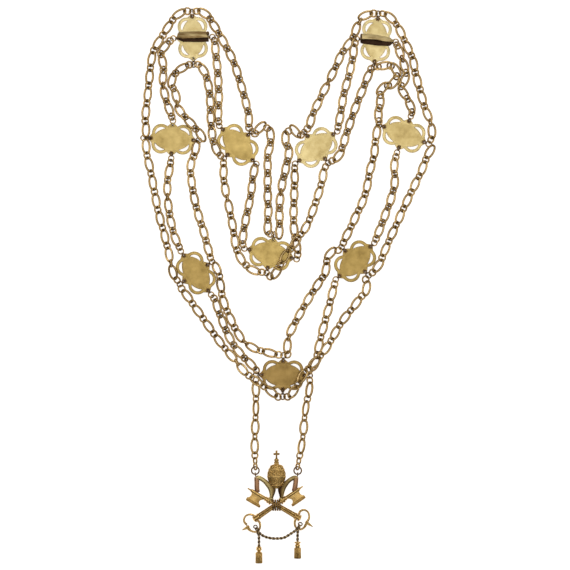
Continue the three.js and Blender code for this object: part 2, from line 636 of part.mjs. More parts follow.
// The links share the route: their steps grow or shrink together until the last one is at its end
function pendantGeometry(pendant) {
  const path = pendantPath(pendant);
  const links = PENDANT_LINKS.map(linkOf);
  const places = [(links[0].length - links[0].wire) / 2];
  links.slice(1).forEach((link, i) => {
    const step = (links[i].length + link.length) / 2 - links[i].wire - link.wire + LINK_BITE;
    places.push(places[i] + step);
  });
  const last = places[places.length - 1];
  const tilts = [JUMP_TILT, ...pendant.tilts, HOOK_TILT];
  const first = places[0] / path.getLength();
  const solids = links.map((link, i) => {
    const share = THREE.MathUtils.lerp(first, 1, (places[i] - places[0]) / (last - places[0]));
    const geometry = linkGeometry(link.length, link.width, link.wire);
    return placedLink(geometry, path.getPointAt(share), path.getTangentAt(share), tilts[i]);
  });
  return cleaned(join(solids));
}

for (const [name, pendant] of Object.entries(PENDANTS)) {
  addMesh(name, pendantGeometry(pendant), badgeGilt);
}

// Badge: its group stands at the middle of the tiara's rim
const badge = new THREE.Group();
badge.position.set(BADGE_X, BADGE_Y, 0);
officeChain.add(badge);

function tiaraBody() {
  const profile = TIARA_PROFILE.map(([out, up]) => {
    return new THREE.Vector2(out * TIARA_RADIUS, up * TIARA_HEIGHT);
  });
  const body = new THREE.LatheGeometry(profile, TIARA_SIDES);
  body.scale(1, 1, TIARA_FLATTEN);
  return body.translate(0, 0, TIARA_RADIUS * TIARA_FLATTEN);
}

function lappet(points) {
  const strip = new THREE.Shape();
  const halfThick = LAPPET_THICK / 2;
  const halfWidth = LAPPET_WIDTH / 2;
  strip.moveTo(-halfThick, -halfWidth);
  strip.lineTo(halfThick, -halfWidth);
  strip.lineTo(halfThick, halfWidth);
  strip.lineTo(-halfThick, halfWidth);
  return sweep(strip, points.map(([x, y]) => [x, y, HANGER_Z]), LAPPET_STEP);
}

function hanger(x, y) {
  const loop = new THREE.TorusGeometry(HANGER_RADIUS, HANGER_WIRE / 2, LINK_SIDES, LINK_STEPS);
  loop.rotateY(Math.PI / 2);
  return loop.translate(x, y, HANGER_Z);
}

function tiaraSolid() {
  const middle = TIARA_RADIUS * TIARA_FLATTEN;
  const orb = new THREE.SphereGeometry(ORB_RADIUS, ORB_SIDES, BALL_STEPS);
  orb.translate(0, TIARA_HEIGHT + ORB_RADIUS * ORB_RISE, middle);
  const crossFoot = TIARA_HEIGHT + ORB_RADIUS * CROSS_RISE;
  const pieces = [tiaraBody(), orb];
  pieces.push(block(CROSS_BAR, CROSS_HEIGHT, CROSS_BAR, 0, crossFoot + CROSS_HEIGHT / 2, middle));
  pieces.push(block(CROSS_SPAN, CROSS_BAR, CROSS_BAR, 0, crossFoot + CROSS_HEIGHT * CROSS_ARMS, middle));
  for (const [side, { inner, outer }] of Object.entries(LAPPETS)) {
    pieces.push(lappet(inner));
    pieces.push(lappet(outer));
    pieces.push(hanger(...hangerHole(side)));
  }
  return join(pieces);
}

for (const side of Object.keys(LAPPETS)) {
  const ring = linkGeometry(BADGE_RING_SIZE, BADGE_RING_SIZE, BADGE_RING_WIRE);
  const centre = new THREE.Vector3(...badgeRingCentre(side), HANGER_Z);
  addMesh(`badge_ring_${side}`, placedLink(ring, centre, { x: 0, y: 1 }, 0), darkGilt, badge);
}

// One key, made along +X from its tip and then laid from its tip to its foot
function keySolid({ tip, foot, bitSide }) {
  const run = [foot[0] - tip[0], foot[1] - tip[1]];
  const length = Math.hypot(...run);
  const crossing = Math.hypot(KEY_CROSSING[0] - tip[0], KEY_CROSSING[1] - tip[1]);
  const rod = (radiusA, radiusB, from, to) => {
    const cylinder = new THREE.CylinderGeometry(radiusB, radiusA, to - from, KEY_SIDES);
    cylinder.rotateZ(-Math.PI / 2);
    return cylinder.translate((from + to) / 2, 0, 0);
  };
  const plateMiddle = bitSide * BIT_REACH / 2;
  const barMiddle = bitSide * BIT_REACH;
  const collarEnd = KEY_COLLAR_PLACE + KEY_COLLAR_LENGTH;
  const pieces = [
    rod(KEY_POINT, KEY_STEM / 2, 0, KEY_TIP),
    rod(KEY_STEM / 2, KEY_STEM / 2, KEY_TIP - OVERLAP, crossing),
    rod(KEY_SHAFT / 2, KEY_SHAFT / 2, crossing - OVERLAP, length),
    rod(KEY_COLLAR / 2, KEY_COLLAR / 2, KEY_COLLAR_PLACE, collarEnd),
    block(KEY_BLOCK, KEY_BLOCK, KEY_SHAFT, length, 0, 0),
    block(BIT_WIDTH, BIT_REACH, BIT_THICK, BIT_PLACE, plateMiddle, 0),
    block(BIT_BAR, BIT_BAR_WIDTH, BIT_THICK, BIT_PLACE, barMiddle, 0),
  ];
  const angle = Math.atan2(run[1], run[0]);
  return join(pieces.map((piece) => piece.rotateZ(angle).translate(tip[0], tip[1], KEY_Z)));
}

function bindingPieces() {
  const turn = BINDING_WIDTH / BINDING_WRAPS;
  return Array.from({ length: BINDING_WRAPS }, (_, i) => {
    const wrap = new THREE.CylinderGeometry(1, 1, turn * BINDING_FILL, KEY_SIDES);
    wrap.rotateZ(Math.PI / 2);
    wrap.scale(1, BINDING_HEIGHT / 2, KEY_Z - GAP / 3);
    const x = KEY_CROSSING[0] + (i - (BINDING_WRAPS - 1) / 2) * turn;
    return wrap.translate(x, KEY_CROSSING[1], KEY_Z);
  });
}

function bowPieces({ loops, knob, leaf }) {
  const pieces = loops.map(([x, y, radius]) => {
    const loop = new THREE.TorusGeometry(radius, BOW_WIRE / 2, LINK_SIDES, LINK_STEPS);
    return loop.translate(x, y, BOW_Z);
  });
  const run = [leaf[0] - knob[0], leaf[1] - knob[1]];
  const blade = new THREE.CylinderGeometry(LEAF_TIP, BOW_WIRE, Math.hypot(...run), LINK_SIDES);
  blade.rotateZ(Math.atan2(run[1], run[0]) - Math.PI / 2);
  pieces.push(blade.translate((knob[0] + leaf[0]) / 2, (knob[1] + leaf[1]) / 2, BOW_Z + KNOB_RISE));
  const ball = new THREE.SphereGeometry(KNOB_RADIUS, KEY_SIDES, BALL_STEPS);
  ball.scale(1, 1, KNOB_FLATTEN);
  pieces.push(ball.translate(...knob, BOW_Z + KNOB_RISE));
  return pieces;
}

// Tiara, lappets and keys are soldered together
function emblemGeometry() {
  const small = join([...bindingPieces(), ...BOWS.flatMap(bowPieces)]);
  return cleaned(KEYS.map(keySolid).reduce((whole, key) => whole.add(key), small).add(tiaraSolid()));
}
addMesh('badge_emblem', emblemGeometry(), badgeGilt, badge);

function ropeGeometry(points) {
  return sweep(sectionOf(CORD_SIZE, CORD_SIZE, CORD_SIDES), points, CORD_STEP);
}

function ropesGeometry() {
  const pieces = [ropeGeometry(SWAG)];
  for (const { points } of DROPS) {
    pieces.push(ropeGeometry(points));
    const knot = new THREE.SphereGeometry(KNOT_SIZE / 2, CORD_SIDES, BALL_STEPS);
    knot.scale(1, 1, KNOT_FLATTEN);
    pieces.push(knot.translate(...points[0]));
  }
  return cleaned(join(pieces));
}
addMesh('badge_rope', ropesGeometry(), darkGilt, badge);

function tasselGeometry([x, y]) {
  const profile = TASSEL_PROFILE.map(([out, down]) => {
    return new THREE.Vector2(out * TASSEL_SIZE / 2, -down * TASSEL_LENGTH);
  });
  const tassel = new THREE.LatheGeometry(profile.reverse(), TASSEL_RIBS * 2);
  const position = tassel.attributes.position;
  for (let i = 0; i < position.count; i += 1) {
    const rib = Math.round((Math.atan2(position.getX(i), position.getZ(i)) / Math.PI) * TASSEL_RIBS);
    const groove = rib % 2 === 0 ? 1 : TASSEL_GROOVE;
    position.setX(i, position.getX(i) * groove);
    position.setZ(i, position.getZ(i) * groove);
  }
  return tassel.translate(x, y, TASSEL_Z);
}

for (const { name, points } of DROPS) {
  const [x, y] = points[points.length - 1];
  addMesh(`badge_tassel_${name}`, tasselGeometry([x, y - GAP]), badgeGilt, badge);
}

export default officeChain;
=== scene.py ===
"""Looks of a chain of office in gilt metal, lying on a white surface with its reverse side up.

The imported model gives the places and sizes. The strands are made here link by link along the routes that
the model's source has, the plaques get rounded edges, collars and clips, and the badge its cast detail.
Sizes in the tables are in millimetres, in the model's frame.
"""

import math
import random

import bmesh
import bpy
import numpy as np
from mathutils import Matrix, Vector


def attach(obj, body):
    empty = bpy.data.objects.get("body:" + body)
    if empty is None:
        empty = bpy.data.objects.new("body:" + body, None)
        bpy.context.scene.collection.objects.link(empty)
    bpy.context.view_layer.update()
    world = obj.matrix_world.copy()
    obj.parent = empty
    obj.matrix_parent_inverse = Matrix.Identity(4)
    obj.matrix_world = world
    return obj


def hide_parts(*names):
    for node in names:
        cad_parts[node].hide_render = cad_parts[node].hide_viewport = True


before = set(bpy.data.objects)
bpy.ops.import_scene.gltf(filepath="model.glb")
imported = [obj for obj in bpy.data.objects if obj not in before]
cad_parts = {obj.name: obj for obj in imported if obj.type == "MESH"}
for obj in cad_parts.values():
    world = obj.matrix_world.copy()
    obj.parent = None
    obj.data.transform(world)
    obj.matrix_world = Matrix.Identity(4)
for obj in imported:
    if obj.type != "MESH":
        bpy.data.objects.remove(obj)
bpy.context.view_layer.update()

MM = 0.001
SEED = 11

# Plaque, as in the model
DISC = (15.7, 9.7)
LOBE_RADIUS = 7.9
LOBE_AT = (9.35, 4.8)
BAND = 2.8
MEDALLION_INSET = 1.3
PLATE_BOTTOM = 2.0
PLATE_TOP = 3.2
TAB_RADIUS = 4.7
TAB_IN = 1.2
EYE_OUT = 2.3
EYE_RADIUS = 2.1
EYE_HOLE = 1.25
EYE_AT = (DISC[0] + EYE_OUT, DISC[1] + EYE_OUT)
PLATE_BEVEL = 0.45
OUTLINE_POINTS = 220
HOLE_POINTS = 26
CUT_STEPS = 720  # of the search for a cut's ends
BACK_INSET = 0.9
BACK_RISE = 0.12
MEDALLION_BULGE = 0.35  # of the show side, below its rim
OVAL_SUNK = 0.4  # how deep both ovals start inside the plate
OVAL_SHADE = 0.14  # how much duller the middle is than the rims
OPEN_TARNISH = 0.1  # of the show side and the collars
EDGE_TARNISH_AND_SHADE = (0.2, 0.95)  # tarnish of the plate on its open face, and painted shade low on its edges
EDGE_BAND = 0.06  # how far below the top the painted shade starts to grow, and how fast
EDGE_FALL = 5
COLLAR_SIZE = (1.35, 1.25)  # radius of each eye's collar and its wire
COLLAR_SUNK = 0.1

# Links: outer length, outer width, wire, steps round the link, sides of the wire, fullness of its corners
LINKS = {
    "oval": (14.4, 7.9, 1.95, 40, 10, 2.05),
    "ring": (7.4, 7.3, 1.5, 28, 10, 2.0),
    "hub": (6.0, 6.0, 1.15, 26, 8, 2.0),
}
TILTS = {"oval": 10, "ring": -27}
TILT_SPREAD = {"oval": 8, "ring": 9}
YAW_SPREAD = 4
FLIP_SHARE = 0.1  # share of the links that lean the other way
EDGE_SHARE = 0.07  # share of the rings that stand on edge, and how far they lean
EDGE_TILT = 72

# Ring that the strands of one side share, hung from the plaque's eye by a small link
HUB_TILT = 16
HUB_OUT = 4.6  # from the eye to the middle of the ring
HUB_OUTS = {
    ("shoulder_plaque_left", "E"): 3.8,
    ("front_plaque_upper_left", "W"): 6.2,
    ("front_plaque_upper_left", "N"): 3.7,
    ("front_plaque_upper_left", "S"): 4.3,
    ("front_plaque_centre", "S"): 6.3,
}
EYE_LINK_WIDTH = 3.5
EYE_LINK_WIRE = 0.9
EYE_LINK_TILT = 64
EYE_LINK_HEIGHT = 2.3
EYE_LINK_STEPS = (22, 8, 2.2)  # as the last three of each link
BLOBS = [("front_plaque_upper_left", "W"), ("front_plaque_centre", "S")]
BLOB_RADIUS = 1.7
BLOB_TARNISH = 0.5

# Clip on each shoulder plaque: the outlines of its lit upper leg and of the leg beside it, which is painted
# near black as shade, from the plaque's middle, and the place and radii of a small bump at its end
CLIPS = {
    "shoulder_plaque_left": {
        "upper": [(-13.5, -0.3), (-8, -1.3), (0, -0.9), (12.9, -0.4), (12.7, 3.9), (11.6, 4.7), (5, 4.9),
                  (-11.4, 4.5), (-12.7, 3.2)],
        "lower": [(-13.2, -0.7), (-11, -2.6), (-8, -3.6), (5, -3.9), (13.7, -3.6), (13.5, -0.3), (0, -0.6)],
        "bump": (12.9, 3.0, 1.4, 2.0), "tarnish_and_shade": 0.4,
    },
    "shoulder_plaque_right": {
        "upper": [(-12.6, 0.6), (-1.3, 0.3), (7.4, -1.5), (14.7, -1.9), (15.4, -0.6), (10.9, 2), (5, 3.3),
                  (-4.3, 5.1), (-12.4, 5.2)],
        "lower": [(-13.6, -1.9), (-12.7, -2.9), (-7.1, -3.6), (0.5, -4.7), (11.6, -5), (14.9, -2.1),
                  (7.4, -1.3), (-1.3, 0.4), (-13.4, 0.7)],
        "bump": (-12.9, 2.2, 0.9, 3.2), "tarnish_and_shade": 0.05,
    },
}
CLIP_UPPER = (5.9, 7.0)  # levels of each leg
CLIP_LOWER = (3.3, 5.2)
CLIP_BEVEL = 0.3
CLIP_BUMP_HEIGHT = 0.8

SIDES = {"E": (1, 0), "W": (-1, 0), "N": (0, 1), "S": (0, -1)}

# Plaques: place, turn of the long axis in degrees, depth of colour and which eyes are dark with solder
PLAQUES = {
    "shoulder_plaque_left": ((-76.6, 286.5), 91.7, 0.03, "EN"),
    "shoulder_plaque_right": ((79.1, 284.3), 85.4, 0.0, "EW"),
    "front_plaque_upper_left": ((-94.2, 200.3), -2.7, 0.38, "EWS"),
    "front_plaque_upper_right": ((102.7, 204.4), -20.9, 0.22, "EWNS"),
    "front_plaque_lower_left": ((-73.9, 86.7), -55.2, 0.72, "EWNS"),
    "front_plaque_lower_right": ((61.2, 96.7), 43.5, 0.69, "EWNS"),
    "front_plaque_centre": ((0, 0), -1, 0.92, "EWNS"),
    "back_plaque_left": ((-38.4, 195.5), -45.9, 0.46, "EWNS"),
    "back_plaque_right": ((28.2, 193.3), 37.6, 0.1, "EWNS"),
    "back_plaque_centre": ((-10.6, 103), -11.6, 0.46, "EWS"),
}

# Pendant chains, as in the model: their links, routes and how far each link leans
PENDANT_KINDS = ["jump"] + ["ring", "oval"] * 4 + ["ring"] * 3
PENDANT_SIZES = {"jump": (5.6, 5.6, 0.8), "oval": (14.6, 8.0, 2.0), "ring": (7.0, 7.0, 1.45)}
PENDANT_STEPS = (32, 10, 2.05)
PENDANT_BITE = 0.4
PENDANT_Z = 3.2
PENDANT_START_Z = 2.6
PENDANTS = {
    "pendant_chain_left": {
        "points": [(-18, 0.3), (-21.5, -1.5), (-23.3, -5.5), (-23, -12), (-23, -27), (-24, -60),
                   (-23.5, -77.4)],
        "tilts": [60, -35, 15, -38, 45, -45, 8, 55, 15, -30, 60, 60],
    },
    "pendant_chain_right": {
        "points": [(18, -0.3), (21.5, -1.5), (23, -5.5), (22.5, -11), (19, -30), (16.5, -55), (12.5, -77.4)],
        "tilts": [60, -35, 35, -18, 42, -48, 5, 55, 38, -30, 58, 60],
    },
}

# Badge, in its own frame from the middle of the tiara's rim
BADGE_AT = (-5.5, -96)
BADGE_RING = (6.4, 1.25)  # across the middle of the wire, and wire
BADGE_RING_AT = {"left": (-18, 15), "right": (18, 15)}
STRAP_Z = 2.8
STRAP_WIDTH = 3.8
STRAP_THICK = 2.0
STRAP_FULLNESS = 2.7
OUTER_WIDTH = 4.2
INNER_SIDES = 16  # points round an inner and an outer lappet
OUTER_SIDES = 14
CURL_PROFILE = [(-1.9, 0.9), (-1.8, 1.4), (1.8, 1.4), (1.9, 0.9)]  # across the end of an inner lappet
CURL_RISE = 0.3
TIARA_FLATTEN = 0.42
TIARA_MIDDLE = 3.6
# Along the tiara and radius, from the rim over its three crowns to the neck and the orb
TIARA_PROFILE = [
    (-0.2, 2.3), (0.3, 2.9), (1.2, 3.3), (1.8, 4.0), (2.3, 4.9), (2.8, 5.1), (3.2, 4.9), (3.9, 5.4),
    (5.0, 6.2), (6.4, 7.0), (8.2, 7.6), (9.2, 7.8), (9.6, 8.05), (10.3, 8.05), (10.7, 7.75), (12.4, 7.8),
    (13.8, 7.6), (15.2, 6.9), (15.7, 6.8), (16.1, 7.0), (16.7, 6.7), (17.0, 6.1), (18.3, 5.5), (19.6, 4.7),
    (20.1, 3.2), (20.3, 2.2), (21.0, 1.9), (21.6, 2.1), (22.4, 2.1), (22.8, 1.5), (23.1, 1.5), (23.5, 2.0),
    (24.2, 2.1), (24.7, 1.7), (25.1, 1.0), (25.9, 0.8),
]
CROWNS = [(4.9, 6.0, 11), (12.3, 7.7, 13), (17.7, 5.6, 11)]  # along, radius and leaves of each row of relief
RIDGE_HIGHLIGHTS = (2.6, 10, 16.1, 20.9, 24)  # painted highlights so far along the tiara, and how wide
RIDGE_WIDTH = 0.5
RELIEF_SHARE = 0.94  # of the radius, where the relief is set into the body
RELIEF_TARNISH = 0.08
LEAF = (1.5, 0.62, 0.5)  # radii of the larger leaves, the smaller ones and the pearls below them
BUD = (0.7, 0.5, 0.5)
PEARL = (0.42, 0.42, 0.42)
BUD_BACK = 0.6
PEARL_BACK = 2.4
ROUNDELS = [(7.6, 0.3, 7.3), (13.9, 1.6, 7.3)]  # along, across and the tiara's radius there
ROUNDEL = (1.2, 0.55)
ROUNDEL_KNOB = (0.5, 0.5, 0.4)
CROSS_HALF = 0.7
CROSS = [
    (-0.75, 25.4), (-0.7, 28.3), (-2.5, 28.1), (-2.7, 30.1), (-0.75, 29.9), (-0.95, 32.1), (0.95, 32.1),
    (0.75, 29.9), (2.7, 30.1), (2.5, 28.1), (0.7, 28.3), (0.75, 25.4),
]
LAPPETS = {
    "left": {
        "shade": 0.1,
        "inner": [(-17.8, 8.5), (-14.8, 8.8), (-11.2, 6.9), (-7.6, 3.6), (-4.1, 0), (-3.8, -4.6), (-4.6, -9)],
        "outer": [(-16.9, 9.4), (-16.7, 5), (-16.6, 0), (-16.2, -3.4)],
    },
    "right": {
        "shade": 0.35,
        "inner": [(17.8, 8.5), (14.8, 8.8), (11.2, 7.0), (7.8, 3.8), (4.6, 0), (4.2, -4.6), (4.4, -9)],
        "outer": [(16.5, 9.4), (16.3, 5), (15.6, 0.5), (14.8, -2.6)],
    },
}
KEYS = [((-24.6, 0), (18.3, -24.7), -1), ((22.5, 1.7), (-17.4, -25.5), 1)]  # tip, foot and side of the bit
KEY_Z = 2.6
KEY_FLATTEN = 0.95
KEY_SHADES = (0.12, 0.7)  # darkening, and how much more of it in the grooves
KEY_CROSSING = (0, -14.45)
STEM_PROFILE = [(0, 0.3), (0.3, 0.6), (3.2, 0.75), (3.6, 1.3), (4.4, 1.5), (19.6, 1.5)]
COLLAR_PROFILE = [
    (17.4, 1.6), (17.6, 2.2), (18.2, 2.2), (18.4, 1.8), (19.2, 1.8), (19.5, 2.5), (20.5, 2.7), (21.4, 2.3),
    (21.8, 2.3), (22.2, 2.9), (23.2, 2.9), (23.5, 2.2),
]
FOOT_PROFILE = [  # from the foot of the key
    (-3.4, 2.2), (-3.1, 2.9), (-2.3, 2.9), (-2.0, 2.3), (-1.4, 2.3), (-1.1, 2.9), (-0.2, 2.9), (0.1, 2.3),
    (0.7, 2.3), (1.0, 2.9), (1.9, 2.9), (2.3, 2.2), (2.7, 1.0),
]
SHAFT_RADII = (1.9, 2.35)  # at the binding and at the foot
SHAFT_UNDER = 1  # how far the shaft runs past the crossing, and how far it ends before the foot
SHAFT_END = 3.2
SHAFT_RIBS = (6, 0.25)  # count and depth of the grooves
BIT = [
    (4.6, 0.4), (5.3, 2.2), (5.6, 3.6), (5.3, 5.0), (4.5, 6.1), (3.5, 6.8), (3.4, 9.1), (4.0, 9.5),
    (16.4, 9.5), (17.2, 9.1), (17.1, 7.3), (15.9, 7.0), (14.9, 6.3), (14.3, 5.3), (14.2, 4.4), (14.6, 3.3),
    (15.5, 2.3), (16.6, 1.7), (16.7, 0.4),
]
BIT_BAR = [(3.8, 7.0), (3.6, 8.2), (3.8, 9.3), (16.8, 9.3), (17.0, 8.2), (16.8, 7.3), (12, 7.0), (8, 7.0)]
BIT_LEVELS = (1.7, 3.5)
BIT_BAR_LEVELS = (1.5, 4.0)
BINDING_TURNS = (-2.85, -0.95, 0.95, 2.85)
BINDING_SIZE = (4.1, 1.7)  # radius of each turn and its wire
BINDING_FLATTEN = 0.5
HANGER = (1.3, 1.0)
BOW_WIRE = 1.85
BOW_Z = 1.3
BOW_KNOB = (1.6, 1.7, 1.3)
KNOB_RISE = 0.3
BOWS = {
    "left": {
        "loops": [
            [(-18.2, -25.6), (-19.6, -23.2), (-22.8, -22.4), (-26.2, -23.7), (-27.7, -26.8), (-27, -29.4),
             (-25.1, -31.1)],
            [(-24.6, -31.6), (-24.3, -34.4), (-21.3, -36.5), (-17.6, -37.3), (-14.9, -35.6), (-13.9, -32.6),
             (-14.4, -29.2), (-16, -27.4)],
        ],
        "body": (-24.4, -33.2), "leaf": (-29.4, -35.8), "bud": (-21.9, -35.1),
    },
    "right": {
        "loops": [
            [(19, -22.6), (20.1, -19.8), (23.4, -18.5), (26.7, -20.4), (27.8, -23.9), (27.1, -26.9),
             (26, -28.4)],
            [(16.7, -25.4), (15.5, -28.8), (15.9, -32.4), (18, -34.8), (21.2, -34.9), (24.2, -32.6),
             (25.6, -29.6)],
        ],
        "body": (25.8, -29.4), "leaf": (31, -33), "bud": (22.9, -33),
    },
}
ROPE_OFFSET = 0.58  # of each of its two strands from the rope's middle
ROPE_WIRE = 1.35
ROPE_PITCH = 6.4
ROPE_STEP = 0.55
ROPE_SIDES = 6
SWAG = [
    (-17, -33.2, 3.8), (-14.9, -37.4, 2.8), (-12.3, -40, 1.4), (-7.2, -42.1, 1.2), (-0.4, -42.9, 1.2),
    (6.4, -42.1, 1.2), (11.5, -39.1, 1.5), (17, -35, 3), (20, -31, 3.8),
]
DROPS = {
    "left": [(-17, -33.2, 3.8), (-15.4, -37, 3.3), (-14.9, -43, 2.9), (-14.9, -49.2, 2.9)],
    "right": [(20, -31, 3.8), (18.2, -35.5, 3.3), (17.9, -40, 2.9), (17.9, -45.2, 2.9)],
}
KNOTS = [  # place and radius of the small curls where the rope hangs
    (-17.9, -32.6, 4.2, 1.5), (-16.6, -34.6, 4, 1.3), (-15.3, -38.2, 3.4, 1.2), (20.2, -30.3, 4.2, 1.6),
    (18.6, -33.6, 3.9, 1.2),
]
KNOT_WIRE = 1.05
KNOT_TILT = 25
TASSEL_Z = 2.9
TASSEL_HEADS = {
    "left": [(0, 0.7), (0.3, 1.7), (0.9, 2.4), (1.5, 2.0), (2.0, 2.3), (2.6, 2.6), (3.3, 2.2), (4.1, 1.4),
             (4.6, 1.4), (4.9, 2.1), (5.4, 2.1), (5.8, 1.7)],
    "right": [(0, 0.8), (0.3, 2.7), (1.1, 2.8), (1.6, 1.8), (2.3, 1.6), (2.9, 2.2), (3.7, 2.4), (4.4, 1.9),
              (5.3, 1.9)],
}
SKIRT_PROFILE = [(5.0, 1.8), (5.4, 2.7), (6.0, 2.95), (9, 2.9), (13.9, 3.05), (14.4, 2.9), (14.5, 1.9)]
SKIRT_RIBS = 14
SKIRT_GROOVE = 0.12
TASSEL_SHADES = (0.15, 0.6)

# Strands: each span runs from plaque to plaque in three strands, outer, middle and inner. A strand has the
# sides of the eyes that it joins, its first link, the count of its links, rings and ovals by turns, and the
# points that the model's source has: x, y and the lift where there is one.
STRANDS = ("outer", "middle", "inner")
SPANS = {
    ("front_left_high", "shoulder_plaque_left", "front_plaque_upper_left"): [
        ("E", "W", "ring", 16, (-82, 309), (-90, 305.5), (-96, 298), (-103, 287), (-110, 275), (-112.5, 261),
         (-114, 247), (-115.5, 232), (-117, 217), (-116.5, 206.5)),
        ("N", "N", "ring", 11, (-94, 285.5), (-100, 279.5), (-103.5, 273), (-101.5, 262), (-102, 248),
         (-99.5, 234.5), (-95, 221)),
        ("W", "E", "ring", 12, (-81, 263), (-91, 256.5), (-94.5, 249), (-91, 238), (-89, 227, 1),
         (-83, 219, 3.8), (-75.5, 210.5, 4.4), (-69, 202, 2.2)),
    ],
    ("front_left_middle", "front_plaque_upper_left", "front_plaque_lower_left"): [
        ("W", "S", "oval", 16, (-116.5, 196), (-116, 190), (-113, 175.5), (-110, 160.5), (-106, 139),
         (-102, 124), (-98, 108, 1), (-94.5, 93, 3.6), (-93, 86, 2.5), (-90.5, 81.5, 0.5)),
        ("S", "W", "ring", 11, (-95.5, 180), (-98, 165), (-98, 150.5), (-95, 129.5), (-91, 115),
         (-87.5, 107.5)),
        ("E", "N", "oval", 14, (-73.5, 196), (-74.5, 190), (-78.5, 177), (-77.5, 163.5), (-73.5, 142),
         (-67, 120.5), (-61.5, 99.5)),
    ],
    ("front_left_low", "front_plaque_lower_left", "front_plaque_centre"): [
        ("S", "S", "ring", 17, (-86.5, 74), (-82, 68), (-68.5, 49), (-55, 30), (-40.5, 12.5, 1.5),
         (-31.5, 2, 5.4), (-23.5, -4, 5.8), (-13, -11.5, 5), (-7.5, -16, 3.6), (-4.6, -18.3, 1.6)),
        ("E", "W", "ring", 11, (-58.5, 65), (-53.5, 51), (-45, 31), (-36.5, 18.5), (-25.5, 7.5),
         (-22.5, 4, 0.5)),
        ("N", "N", "oval", 14, (-57.5, 92.6, 0.8), (-54, 85.5, 3.6), (-53, 77, 1.5), (-51, 64.5),
         (-43.5, 45.5), (-35.5, 31.5), (-26, 23.5), (-14, 19.5), (-5, 17.5)),
    ],
    ("front_right_high", "shoulder_plaque_right", "front_plaque_upper_right"): [
        ("E", "E", "ring", 17, (84.5, 307), (92, 303), (98.5, 294), (105, 280), (110, 269), (112.5, 256),
         (116.5, 242), (120, 228.5), (124.6, 216), (126.6, 203.5)),
        ("S", "N", "ring", 11, (98.5, 276), (101.5, 267.5), (104.5, 254), (100.5, 244), (106, 234),
         (109.5, 224)),
        ("W", "W", "ring", 13, (82, 262), (90.5, 263), (96.5, 258), (94, 248.5), (84, 243), (82.5, 231),
         (81, 221), (81.5, 216)),
    ],
    ("front_right_middle", "front_plaque_upper_right", "front_plaque_lower_right"): [
        ("E", "S", "oval", 16, (125.5, 192), (122.5, 186), (117.5, 173), (108, 153.5), (97, 129.5),
         (87.5, 108), (81.5, 94, 0.8), (76.5, 87.5)),
        ("S", "E", "ring", 11, (94.5, 178), (95, 165), (92, 150.5), (84.5, 130), (79, 115.5)),
        ("W", "N", "oval", 14, (80, 207.5), (78.5, 199), (77.5, 188), (74, 174), (69.5, 152.5), (61, 133),
         (51.5, 113)),
    ],
    ("front_right_low", "front_plaque_lower_right", "front_plaque_centre"): [
        ("S", "S", "ring", 17, (70, 80.5), (71, 74), (63, 62), (49.5, 44.5), (39, 26.5, 2.5),
         (30, 14.5, 5.4), (23, 7, 5.8), (17, 0, 5.6), (12, -9, 5.2), (7.5, -15.5, 3.6), (4.6, -18.3, 1.6)),
        ("W", "E", "ring", 11, (42.5, 72), (38, 54), (33, 35.5), (29.5, 20), (27, 9.5), (22.5, 5, 0.5)),
        ("N", "N", "ring", 15, (47, 106), (40.5, 103.5), (37, 96), (36, 87.5), (27.5, 74), (20, 62),
         (12.5, 48.5), (6, 35.5), (3.5, 22), (4, 17.5)),
    ],
    ("back_left_high", "shoulder_plaque_left", "back_plaque_left"): [
        ("E", "N", "ring", 17, (-73, 309), (-65, 306), (-58, 296), (-50, 282), (-42, 266), (-37, 251),
         (-32.5, 235), (-29, 220), (-29, 210.5)),
        ("S", "W", "ring", 11, (-58.5, 284.5), (-57.5, 277), (-56, 263), (-55, 249.5), (-54.5, 235.5),
         (-55, 221)),
        ("W", "S", "ring", 13, (-71.5, 263.5), (-66.5, 257), (-64, 249), (-62, 235.5), (-61.5, 221.5),
         (-60.5, 208, 1.5), (-59, 198, 3.8), (-54.5, 188, 1.5)),
    ],
    ("back_left_low", "back_plaque_left", "back_plaque_centre"): [
        ("N", "N", "ring", 17, (-24, 205), (-18, 211), (-12, 208.5), (-10.5, 198.5), (-13, 186),
         (-13, 174.5), (-13, 154), (-12.5, 139.5), (-13, 127), (-12, 120.5)),
        ("E", "W", "oval", 10, (-23, 178.5), (-25.5, 169), (-27, 155), (-30.5, 137), (-33.5, 122),
         (-34, 111.5)),
        ("S", "S", "ring", 15, (-50.5, 180.5), (-50, 164), (-46.5, 146), (-43, 128), (-39, 106), (-33, 95),
         (-25, 89), (-18.5, 87.5)),
    ],
    ("back_right_high", "shoulder_plaque_right", "back_plaque_right"): [
        ("E", "N", "ring", 17, (75.5, 307), (68.5, 304.5), (63.5, 297), (59, 286), (50.5, 274), (44.5, 261),
         (38.5, 249), (32, 235.5), (26, 223), (21.5, 210.5)),
        ("N", "E", "ring", 11, (60.5, 280), (59.5, 271), (56, 254), (52, 240), (48.5, 219.5)),
        ("W", "S", "ring", 13, (76, 262), (74, 258), (69, 246), (61.5, 227), (54.5, 206.5), (50.5, 194),
         (47, 186), (41, 181.5)),
    ],
    ("back_right_low", "back_plaque_right", "back_plaque_centre"): [
        ("N", "N", "ring", 16, (14, 203.5), (8.5, 208.5), (4, 206.5), (2, 200.5), (5, 190), (3, 178.5),
         (-1.5, 158), (-3, 140.5), (-3, 126), (-4, 119)),
        ("W", "E", "ring", 11, (10, 177), (10, 169), (9.5, 154), (9, 132), (10, 118), (12, 108), (12.5, 102)),
        ("S", "S", "ring", 15, (35.5, 175.5), (32.5, 162), (26, 141.5), (20.5, 127.5, 1), (14.5, 118.5, 4.6),
         (8.5, 110, 5.4), (3, 102.5, 4.6), (-1, 96, 4.8), (-4.6, 89, 4.4), (-9.6, 83.2, 1.8)),
    ],
}
